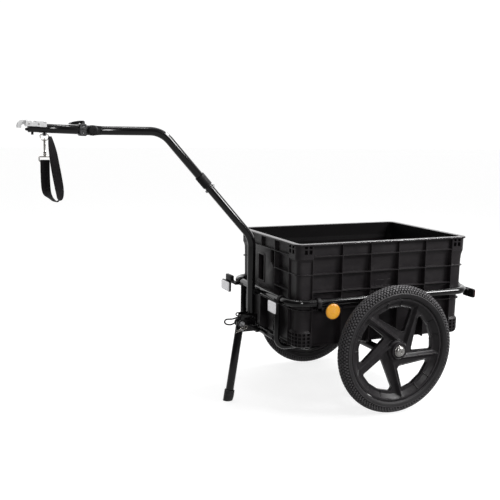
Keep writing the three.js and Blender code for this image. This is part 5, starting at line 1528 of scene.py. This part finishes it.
piece("hinge_tongue_look", ARM(skin(tongue_f, (-62, -17.5, -18.5), (15, 17.5, 27), 0.68, 2)), "grey_casting", "hinge_tongue", sharp=48)
screws = []
for zz in (-9.0, 9.0):
    screws.append(ARM(hexagon(4.6, 13.4, 15.0, (-26.5, 0, zz), (0, -1, 0), 0.8)))
piece("clamp_screws_look", merge(*screws), "zinc_plate", (), body="hitch_arm", sharp=35)
lever_o = arc(-25, 21.2, 4.3, -90, 90, 14) + [(-34, 25.2), (-41, 24.2), (-48, 22.6), (-55, 20.6), (-61, 18.4), (-64.5, 15.6), (-63, 13.9), (-56, 13.3),
                                            (-48, 13.2), (-39.5, 13.4), (-36, 18.4), (-31, 16.9)]
lever_t = [(-37, 24.4), (-42.5, 23.6), (-48, 22.6), (-55, 20.6), (-61, 18.4), (-64.5, 15.6), (-63, 14.2), (-56, 14.8), (-48, 15.4), (-40, 16.0)]
lv_parts = [plate(lever_o, -5.2, 5.2, [arc(-25, 21.2, 2.3, n=16)], 0.7), plate(lever_t, -8.5, 8.5, (), 1.1)]
for k in range(4):
    x = -47 - 4 * k
    z = float(np.interp(-x, [37, 48, 61], [24.4, 22.6, 18.4]))
    lv_parts.append(rbox(x - 0.6, x + 0.6, -6.6, 6.6, z - 1.2, z + 0.35, 0.3, 1))
piece("lock_lever_look", ARM(merge(*lv_parts)), "frame_paint", "lock_lever", sharp=35)


def tube_f(x, y, z):
    r = hyp(y, z)
    d = np.maximum(np.abs(r - 11.75) - 0.75, np.abs(x + 104.8) - 67.2)
    d = np.maximum(d, -box3(x, y, z, -180, -124, -20, 20, 3.6, 30))
    d = np.maximum(d, -box3(x, y, z, -166.5, -143.5, -4.2, 4.2, -20, 0))
    d = np.maximum(d, -np.maximum(hyp(x + 134, y) - 2.9, z + 2))
    return d


ht = sweep([(-37.6, 0, 0), (-123.6, 0, 0)], 12.5, 48, wall=1.5, first=(0, 0, 1), edge=0.4)


def shoe_f(x, y, z):
    """Lower half of the tube's end with its slots."""
    r = hyp(y, z)
    d = np.maximum(np.abs(r - 11.6) - 0.9, np.abs(x + 147.9) - 24.3)
    d = np.maximum(d, z - 3.4)
    d = np.maximum(d, -box3(x, y, z, -166.5, -143.5, -4.2, 4.2, -20, 0))
    d = np.maximum(d, -np.maximum(hyp(x + 134, y) - 2.9, z + 2))
    return d - 0.0


shoe = skin(shoe_f, (-174, -14, -14), (-122, 14, 5), 0.6, 2)
# turned-down front edge of the shoe
nose = sweep(*ball_ends([(-171.4, 11.6 * math.sin(t), -11.6 * math.cos(t)) for t in np.linspace(-1.15, 1.15, 25)], 1.05), 12, edge=0)
piece("hitch_tube_look", ARM(merge(ht, shoe, nose)), "frame_paint", "hitch_tube", sharp=42)


def head_f(x, y, z):
    b2 = sd_poly(x, z, [(-124.4, 4), (-124.4, 18.5), (-126.4, 20.5), (-176, 20.5), (-180, 17), (-180, 4)])
    body = prism(b2, y, -14, 14, 0.0)
    # pressed cover: well rounded along its upper edges
    cy = np.abs(y) - (14 - 4.5)
    cz = z - (20.5 - 4.5)
    rnd = np.where((cy > 0) & (cz > 0), hyp(np.maximum(cy, 0), np.maximum(cz, 0)) - 4.5, -10)
    body = np.maximum(body, rnd)
    body = smax(body, -(box3(x, y, z, -182, -170, 9.0, 20, 3, 22)), 2.0) if False else body
    tp = [(-183.8 + 6.2 * math.cos(t), 2.5 + 6.2 * math.sin(t)) for t in np.linspace(math.pi, 0, 15)]
    h2 = sd_poly(x, z, [(-170, 4), (-170, 20.5), (-184, 20.5), (-189, 19.6), (-193, 18), (-196.6, 15.2), (-199, 12), (-200.8, 8.6), (-202, 5), (-201, -1.5),
                        (-190, -1.5)] + tp + [(-177.6, 4)])
    hook = prism(h2, y, -6, 6, 1.0)
    guide = box3(x, y, z, -169, -141, -6.2, 6.2, -7.6, 6, 0.5)
    d = np.maximum(smin(smin(body, hook, 2.5), guide, 0.6), z - 20.3)
    # long groove on top and the side slots
    d = smax(d, -(box3(x, y, z, -166, -134, -4.5, 4.5, 19.6, 24, 0.0)), 0.6)
    for rx in (-172.5, -130.0):
        d = smax(d, -np.maximum(hyp(x - rx, y) - 3.9, 19.3 - z), 0.3)
    d = np.maximum(d, -np.maximum(hyp(y, z + 4.5) - 4.3, np.abs(x + 159) - 21))
    d = np.maximum(d, -box3(x, y, z, -165, -146.5, -3.9, 3.9, -12, -4))
    ay = np.abs(y)
    d = smax(d, -box3(x, ay, z, -162, -153, 11.5, 20, 14, 18, 1.2), 0.3)
    d = smax(d, -box3(x, ay, z, -137.5, -128.5, 11.5, 20, 14, 16.8, 1.2), 0.3)
    # fold line low on each side
    d = smax(d, -box3(x, ay, z, -178, -126, 13.55, 20, 6.6, 7.4), 0.3)
    return d


piece("hitch_head_look", ARM(skin(head_f, (-204, -15.5, -9.5), (-122.5, 15.5, 22.5), 0.6, 2)), "zinc_plate", "hitch_head", mat=HEAD, sharp=48)
riv = []
for x in (-172.5, -130.0):
    riv.append(lathe([(0, 20.3), (1.6, 20.2), (2.6, 19.9), (3.1, 19.4), (0, 18.8)], 24, (x, 0, 0), (0, 0, 1)))
for s in (-1, 1):
    for x in (-170.5, -145.5):
        riv.append(lathe([(0, 15.3), (1.4, 15.1), (2.2, 14.6), (2.5, 13.9), (0, 13.6)], 20, (x, 0, 10.6), (0, s, 0)))
piece("hitch_rivets_look", ARM(merge(*riv)), "zinc_plate", (), body="hitch_arm", mat=STEEL, sharp=40)
pl = [lathe([(0, 0), (2.2, 0), (2.6, 0.35), (3.9, 2.6), (3.9, 37.4), (3.4, 38), (0, 38)], 32, (-179.5, 0, -4.5), (1, 0, 0)),
      lathe([(0, 0), (3.4, 0), (3.4, 9.6), (3.0, 9.9), (3.0, 10.9), (3.4, 11.2), (3.4, 13.0), (3.0, 13.8), (2.2, 14.0), (0, 14.0)], 28, (-160.6, 0, -4.5), (0, 0, -1))]
piece("latch_plunger_look", ARM(merge(*pl)), "black_plastic", "latch_plunger", sharp=35)
lug = [sweep([(-129, 0, -14.9), (-129, 0, -9.4)], 2.5, 20, edge=0.4), rbox(-135, -123, -6, 6, -15.2, -12.9, 0.6)]
lug_o = [(-132.4, -15), (-132.4, -17.6)] + [(-129 + 3.4 * math.cos(t), -17.4 + 3.0 * math.sin(t)) for t in np.linspace(math.pi * 1.05, math.pi * 1.95, 11)] + [(-125.6, -17.6), (-125.6, -15)]
lug.append(rbox(-132.4, -125.6, 1.9, 3.5, -20.4, -14.9, 0.5))
lug.append(rbox(-132.4, -125.6, -3.5, -1.9, -20.4, -14.9, 0.5))
lug.append(rbox(-132.4, -125.6, -3.3, 3.3, -20.4, -19.25, 0.5))
lug.append(rbox(-132.4, -125.6, -3.3, 3.3, -15.6, -14.6, 0.4))
piece("strap_lug_look", ARM(merge(*lug)), "frame_paint", "strap_lug", sharp=35)

# ------------------------------------------------------------------ safety strap
DX, DZ = -972.483, 819.661
dr_ = rounded([(DX + 0.2, 0, DZ), (DX + 12, 0, DZ), (DX + 9.5, 0, DZ - 14.5), (DX - 9.5, 0, DZ - 14.5), (DX - 12, 0, DZ), (DX - 0.2, 0, DZ)],
              [2.6, 7, 7, 2.6], 12)
piece("d_ring_look", sweep(dr_, 1.25, 18, edge=0.05), "zinc_plate", "d_ring", mat=WIRE, sharp=60)
hz0 = DZ - 14.5
hk = rounded([(DX, -5.5, hz0 - 7.5), (DX, -5.5, hz0 + 3.5), (DX, 5.5, hz0 + 3.5), (DX, 5.5, hz0 - 27), (DX, 0, hz0 - 33)], [5.2, 5.2, 5], 10)
rk = np.interp(np.arange(len(hk)), [0, 3, len(hk) * 0.45, len(hk) * 0.75, len(hk) - 1], [1.75, 1.9, 2.0, 2.1, 1.9])
hook_parts = [sweep(*ball_ends(hk, rk), 20, edge=0, first=(1, 0, 0)),
              lathe([(0, -37), (2.2, -36.9), (3.6, -36.3), (4.2, -34.6), (4.2, -33), (3.6, -31.2), (2.6, -30.4), (0, -30.2)], 32, (DX, 0, hz0), (0, 0, 1)),
              lathe([(2.2, 0), (2.75, 0.25), (2.75, 1.2), (2.2, 1.45)], 24, (DX, 5.5, hz0 - 14), (0, 0, 1), closed=True)]
piece("snap_hook_look", merge(*hook_parts), "bright_wire", "snap_hook", sharp=50)
gate = [sweep(*ball_ends([(DX, -5.5, hz0 - 8.9), (DX, -5.5, hz0 - 18.4), (DX, -0.8, hz0 - 27.2)], [1.7, 1.7, 1.35]), 18, edge=0, first=(1, 0, 0)),
        sweep(*ball_ends([(DX - 2.6, -6.2, hz0 - 13.6), (DX + 2.6, -6.2, hz0 - 13.6)], 0.9), 12, edge=0)]
piece("snap_gate_look", merge(*gate), "bright_wire", "snap_gate", sharp=50)
ez = hz0 - 44.5
eye = rounded([(DX + 0.2, 0, ez), (DX + 15.5, 0, ez), (DX + 15.5, 0, ez - 12), (DX - 15.5, 0, ez - 12), (DX - 15.5, 0, ez), (DX - 0.2, 0, ez)], 3, 12)
eye_parts = [sweep(eye, 1.6, 20, edge=0.05),
             lathe([(0, -1.5), (3.2, -1.5), (3.6, -0.6), (3.4, 0.8), (3.0, 2.0), (3.4, 3.6), (4.3, 4.8), (4.6, 6.2), (4.3, 7.0), (3.0, 7.1), (0, 7.1)],
                   32, (DX, 0, ez), (0, 0, 1))]
piece("swivel_eye_look", merge(*eye_parts), "bright_wire", "swivel_eye", sharp=50)

xa = DX - 0.5
wp = [(0, -2.9, -13), (0, -2.6, -24), (0, -1, -45), (.5, 0, -70), (1.5, -1, -88), (4, -6, -101), (12, -15, -112), (22, -22, -120), (32, -25, -118),
      (34.5, -25, -105), (33, -23, -84), (29, -19, -54), (24.5, -15, -22), (21, -9.5, 10), (17.5, -5, 36), (15, -3, 55)]
wn = [(1, 0, 0), (1, 0, 0), (1, 0, 0), (1, 0, .02), (1, .1, 0), (.95, .35, 0), (.75, .62, -.2), (.6, .75, -.1), (.62, .7, .3), (.8, .5, .1), (.97, .2, 0),
      (1, 0, 0), (1, .1, 0), (.93, .37, 0), (.75, .66, 0), (.45, .89, 0)]
WPTS = spline([(xa + a, b, ez + c) for a, b, c in wp], 7)
WNOR = spline(wn, 7)


def strip(P, Wd, half, thick, r=0.8, lift=0.0):
    """Webbing band with rounded selvedges, and its coordinates across and along."""
    T = tangents(P)
    Wd = np.array([unit(w - t * (w @ t)) for w, t in zip(Wd, T)])
    Nn = np.cross(T, Wd)
    sec = []
    hh = thick / 2
    cols = np.linspace(-1, 1, 17)
    for c_ in cols:
        e_ = 1 - max(0, abs(c_) - 0.93) / 0.07 * 0.55
        sec.append((c_ * half, hh * e_ + 0.14 * math.cos(c_ * 9 * math.pi) * (abs(c_) < 0.9)))
    for c_ in cols[::-1]:
        e_ = 1 - max(0, abs(c_) - 0.93) / 0.07 * 0.55
        sec.append((c_ * half, -hh * e_))
    v, uv = [], []
    s = np.concatenate([[0], np.cumsum(np.linalg.norm(np.diff(P, axis=0), axis=1))])
    for i in range(len(P)):
        for a, b in sec:
            v.append(P[i] + Wd[i] * a + Nn[i] * (b + lift))
            uv.append((a * 0.001, s[i] * 0.001))
    n = len(sec)
    f = grid_faces(len(P), n)
    f.append(tuple(reversed(range(n))))
    f.append(tuple(range((len(P) - 1) * n, len(P) * n)))
    return (np.array(v), f), uv, float(s[-1])


part, uv, wlen = strip(WPTS, WNOR, 12.5, 1.7)
webbing = piece("strap_webbing_look", part, "webbing", "strap_webbing", uv=uv, sharp=50)
# end sewn back over itself below the eye, and turned round the eye's lower bar
lap_p = spline([(xa + 0, 1.9, ez - 8.8), (xa, 0.9, ez - 9.4), (xa, -2.0, ez - 9.6), (xa, -2.9, ez - 13)], 6)
lap2 = spline([(xa, 1.6, ez - 9.6), (xa, 1.2, ez - 14), (xa, -0.2, ez - 22), (xa, 0.6, ez - 36), (xa, 1.4, ez - 44)], 6)
lap3 = spline([(xa, -2.9, ez - 13.6), (xa, -2.9, ez - 10.8), (xa, -1.6, ez - 9.4), (xa, 0.4, ez - 9.2), (xa, 1.6, ez - 10.8), (xa, 1.4, ez - 14),
               (xa, -0.6, ez - 22), (xa, 0.8, ez - 34), (xa, 1.3, ez - 43)], 6)
p3, uv3, l3 = strip(lap3, np.tile([1.0, 0, 0], (len(lap3), 1)), 12.3, 1.5)
lap = piece("strap_lap_look", p3, "webbing", (), body="strap", uv=uv3, sharp=50)
st_parts = []
for row, (u0, u1, w0, w1) in enumerate(((-9.5, 9.5, -26, -26), (-9.5, 9.5, -40, -40), (-9.5, -9.5, -26, -40), (9.5, 9.5, -26, -40), (-9.5, 9.5, -26, -40),
                                        (9.5, -9.5, -26, -40))):
    n_st = 8
    for k in range(n_st):
        t0, t1 = (k + 0.12) / n_st, (k + 0.82) / n_st
        pa = (u0 + (u1 - u0) * t0, w0 + (w1 - w0) * t0)
        pb = (u0 + (u1 - u0) * t1, w0 + (w1 - w0) * t1)
        yy = lambda w: float(np.interp(-w, [13, 24, 45], [-2.9, -2.6, -1.0])) - 0.85
        A_ = np.array([xa + pa[0], yy(pa[1]), ez + pa[1]])
        B_ = np.array([xa + pb[0], yy(pb[1]), ez + pb[1]])
        M_ = (A_ + B_) / 2 + np.array([0, -0.28, 0])
        st_parts.append(sweep(*ball_ends([A_, M_, B_], 0.32, 2), 8, edge=0))
stitch = piece("strap_stitch_look", merge(*st_parts), "webbing", (), body="strap", mat=THREAD, sharp=60)


# ------------------------------------------------------------------ reflectors
YZ = ([0, 1, 0], [0, 0, 1], [1, 0, 0])


def lens_plate(x0, x1, y, z, w, h, r=4, bev=0.7):
    o = soften([(y - w / 2, z - h / 2), (y + w / 2, z - h / 2), (y + w / 2, z + h / 2), (y - w / 2, z + h / 2)], r, 6)
    return plate(o, x0, x1, (), bev, YZ)


def prisms(x, sx, y, z, w, h, pitch=3.0, tall=0.55):
    """Field of low pyramids on the lens face, in two panels."""
    parts = []
    ny, nz = int((w - 5) // pitch), int((h - 5) // pitch)
    for i in range(ny):
        for j in range(nz):
            cy = y - (ny - 1) * pitch / 2 + i * pitch
            cz = z - (nz - 1) * pitch / 2 + j * pitch
            if abs(cy - y) < 1.2:
                continue
            a = pitch / 2 * 0.96
            v = [(x, cy - a, cz - a), (x, cy + a, cz - a), (x, cy + a, cz + a), (x, cy - a, cz + a), (x + sx * tall, cy, cz)]
            parts.append((np.array(v), [(0, 1, 4), (1, 2, 4), (2, 3, 4), (3, 0, 4), (3, 2, 1, 0)]))
    return merge(*parts)


def clamp_ring(x, y, along_y=True):
    """Split plastic ring round the rail."""
    ax = (0, 1, 0) if along_y else (1, 0, 0)
    o = (x, y, 345.0)
    prof = [(11.7, -6), (13.8, -6), (14.2, -5.6), (14.2, -2.6), (13.8, -2.2), (13.8, 2.2), (14.2, 2.6), (14.2, 5.6), (13.8, 6), (11.7, 6)]
    return lathe(prof, 48, o, ax, closed=True)


for side_name, ring_y, y, z, w, h in (("left", -152, -145, 325, 50, 33), ("right", 152, 226, 319, 64, 30)):
    piece(f"front_lens_{side_name}_look", merge(lens_plate(-352.0, -347.5, y, z, w, h), prisms(-351.9, -1, y, z, w, h, tall=0.5)),
          "clear_lens", f"front_reflector_lens_{side_name}", sharp=25)
    hw, hh = w / 2 + 2, h / 2 + 2
    bo = soften([(y - hw, z - hh), (y + hw, z - hh), (y + hw, z + hh), (y - hw, z + hh)], 5, 6)
    bi = soften([(y - hw + 1.8, z - hh + 1.8), (y + hw - 1.8, z - hh + 1.8), (y + hw - 1.8, z + hh - 1.8), (y - hw + 1.8, z + hh - 1.8)], 4.2, 6)
    lo, hi = min(ring_y - 6, y - 8), max(ring_y + 6, y + 8)
    parts = [plate(bo, -346.8, -342, (), 0.8, YZ), plate(bo, -349.0, -345.8, [bi], 0.5, YZ), clamp_ring(-322, ring_y),
             rbox(-346, -331, lo, hi, 334.6, 341.4, 1.2), rbox(-345.5, -341.6, y - 8, y + 8, 325, 340, 1.0),
             rbox(-340, -331, ring_y - 5, ring_y + 5, 340, 347, 0.8), hexagon(5, 0, 3.2, (-339.2, ring_y, 343.6), (-1, 0, 0))]
    if ring_y > 0:
        parts += [rbox(-346, -334.5, 186, hi, 334.6, 357.8, 1.6), hexagon(5, 0, 2.0, (-341, 196, 357.2), (0, 0, 1)),
                  rbox(-346.6, -345.4, 190, hi - 4, 347, 349, 0.4, 1), rbox(-346.6, -345.4, 190, hi - 4, 352, 354, 0.4, 1)]
    for k in range(5):
        parts.append(rbox(-342.4, -340.9, y + (k - 2) * w / 5.4 - 0.8, y + (k - 2) * w / 5.4 + 0.8, z - 12, z + 6, 0.3, 1))
    piece(f"front_bracket_{side_name}_look", merge(*parts), "black_plastic", f"front_reflector_bracket_{side_name}", sharp=35)
for side_name, s in (("left", -1), ("right", 1)):
    ring_y, y, z = s * 152, s * 187, 329
    piece(f"rear_lens_{side_name}_look", merge(lens_plate(341.3, 345.7, y, z, 48, 24), prisms(345.6, 1, y, z, 48, 24, tall=0.5)),
          "red_lens", f"rear_reflector_lens_{side_name}", sharp=25)
    bo = soften([(y - 26, z - 14), (y + 26, z - 14), (y + 26, z + 14), (y - 26, z + 14)], 5, 6)
    bi = soften([(y - 24.2, z - 12.2), (y + 24.2, z - 12.2), (y + 24.2, z + 12.2), (y - 24.2, z + 12.2)], 4.2, 6)
    lo, hi = min(ring_y - 6, y - 8), max(ring_y + 6, y + 8)
    parts = [plate(bo, 335.8, 340.6, (), 0.8, YZ), plate(bo, 339.8, 343.0, [bi], 0.5, YZ), clamp_ring(314, ring_y),
             rbox(326, 337, lo, hi, 334.4, 341.6, 1.2), hexagon(5, 0, 3.0, (325.0, ring_y, 352.0), (0.6, 0, 0.8))]
    for k in range(3):
        parts.append(rbox(334.4, 336.1, y - 15 + k * 15 - 0.8, y - 15 + k * 15 + 0.8, z - 10, z + 10, 0.3, 1))
    piece(f"rear_bracket_{side_name}_look", merge(*parts), "black_plastic", f"rear_reflector_bracket_{side_name}", sharp=35)
for side_name, s in (("left", -1), ("right", 1)):
    x, z, y0, xr = -198, 320.5, s * 234.4, -237
    dish = [(0, 0.2), (22, 0), (24.4, 0.5), (26.1, 1.6), (26.5, 3.0), (26.5, 7.4), (26.1, 8.3), (25.3, 8.5), (24.3, 8.3), (23.9, 7.6), (23.6, 3.6), (22.8, 3.4), (0, 3.4)]
    # ring open towards the crate, an arm along the rail, and the dish at its end
    cring = [(220 + 13.0 * math.cos(t), 345 + 13.0 * math.sin(t)) for t in np.linspace(math.radians(-148), math.radians(148), 60)]
    band_ = [(220 + 14.2 * math.cos(t), 345 + 14.2 * math.sin(t)) for t in np.linspace(math.radians(-140), math.radians(140), 60)] + \
            [(220 + 11.7 * math.cos(t), 345 + 11.7 * math.sin(t)) for t in np.linspace(math.radians(160), math.radians(-160), 60)]
    band_ = [(s * a, b) for a, b in band_]
    ya, yb = min(y0 - s * 3.5, y0 + s * 1), max(y0 - s * 3.5, y0 + s * 1)
    parts = [lathe(dish, 64, (x, y0, z), (0, s, 0)), plate(band_, xr - 6, xr + 6, (), 0.5, YZ),
             rbox(xr - 6, x + 6, ya, yb, 322, 332, 0.9), rbox(xr - 6, xr + 6, ya, yb, 322, 348, 0.9),
             hexagon(5, 0, 2.6, (xr, s * 233.8, 345), (0, s, 0))]
    piece(f"side_housing_{side_name}_look", merge(*parts), "black_plastic", f"side_reflector_housing_{side_name}", sharp=32)
    # domed lens: honeycomb relief worked into a fine polar net
    nR, nA = 30, 132
    V_, F_ = [(x, y0 + s * 3.8, z)], []
    V_ = []
    for i in range(nR + 1):
        rr = 22.8 * i / nR
        for j in range(nA):
            a = 2 * math.pi * j / nA
            px_, pz_ = rr * math.cos(a), rr * math.sin(a)
            dome = float(np.interp(rr, [0, 10, 19, 22.8], [7.4, 7.1, 6.1, 5.0]))
            hs = 3.6
            qx, qz = px_ / hs, pz_ / (hs * math.sqrt(3))
            d1 = hyp((qx - round(qx)) * hs, (qz - round(qz)) * hs * math.sqrt(3))
            d2_ = hyp((qx - 0.5 - round(qx - 0.5)) * hs, (qz - 0.5 - round(qz - 0.5)) * hs * math.sqrt(3))
            dd = min(d1, d2_) / (hs * 0.55)
            bumpy = 0.8 * (1 - min(1.0, dd)) if rr < 21 else 0.0
            V_.append((x + px_, y0 + s * (3.8 + dome + bumpy), z + pz_))
    base_k = len(V_)
    for j in range(nA):
        a = 2 * math.pi * j / nA
        V_.append((x + 22.8 * math.cos(a), y0 + s * 3.8, z + 22.8 * math.sin(a)))
    for i in range(nR):
        for j in range(nA):
            k2 = (j + 1) % nA
            F_.append((i * nA + j, i * nA + k2, (i + 1) * nA + k2, (i + 1) * nA + j))
    for j in range(nA):
        k2 = (j + 1) % nA
        F_.append((nR * nA + j, nR * nA + k2, base_k + k2, base_k + j))
    F_.append(tuple(base_k + j for j in range(nA)))
    bm = bmesh.new()
    for q in V_:
        bm.verts.new(q)
    bm.verts.ensure_lookup_table()
    for q in F_:
        bm.faces.new([bm.verts[i] for i in q])
    bmesh.ops.remove_doubles(bm, verts=bm.verts[:], dist=1e-4)
    bm.verts.index_update()
    Vv = np.array([tuple(q.co) for q in bm.verts])
    Ff = [tuple(q.index for q in face.verts) for face in bm.faces]
    bm.free()
    piece(f"side_lens_{side_name}_look", (Vv, Ff), "amber_lens", f"side_reflector_lens_{side_name}", sharp=28)

# ------------------------------------------------------------------ CAD nodes shown as they are
for n, o in NODES.items():
    if o.hide_render:
        continue
    o.data.materials.clear()
    o.data.materials.append(STEEL if "bearing" in n else ZINC)
    o.data.shade_smooth()
    bev = o.modifiers.new("edge", "BEVEL")
    bev.width, bev.segments, bev.limit_method = 0.0003, 2, "ANGLE"
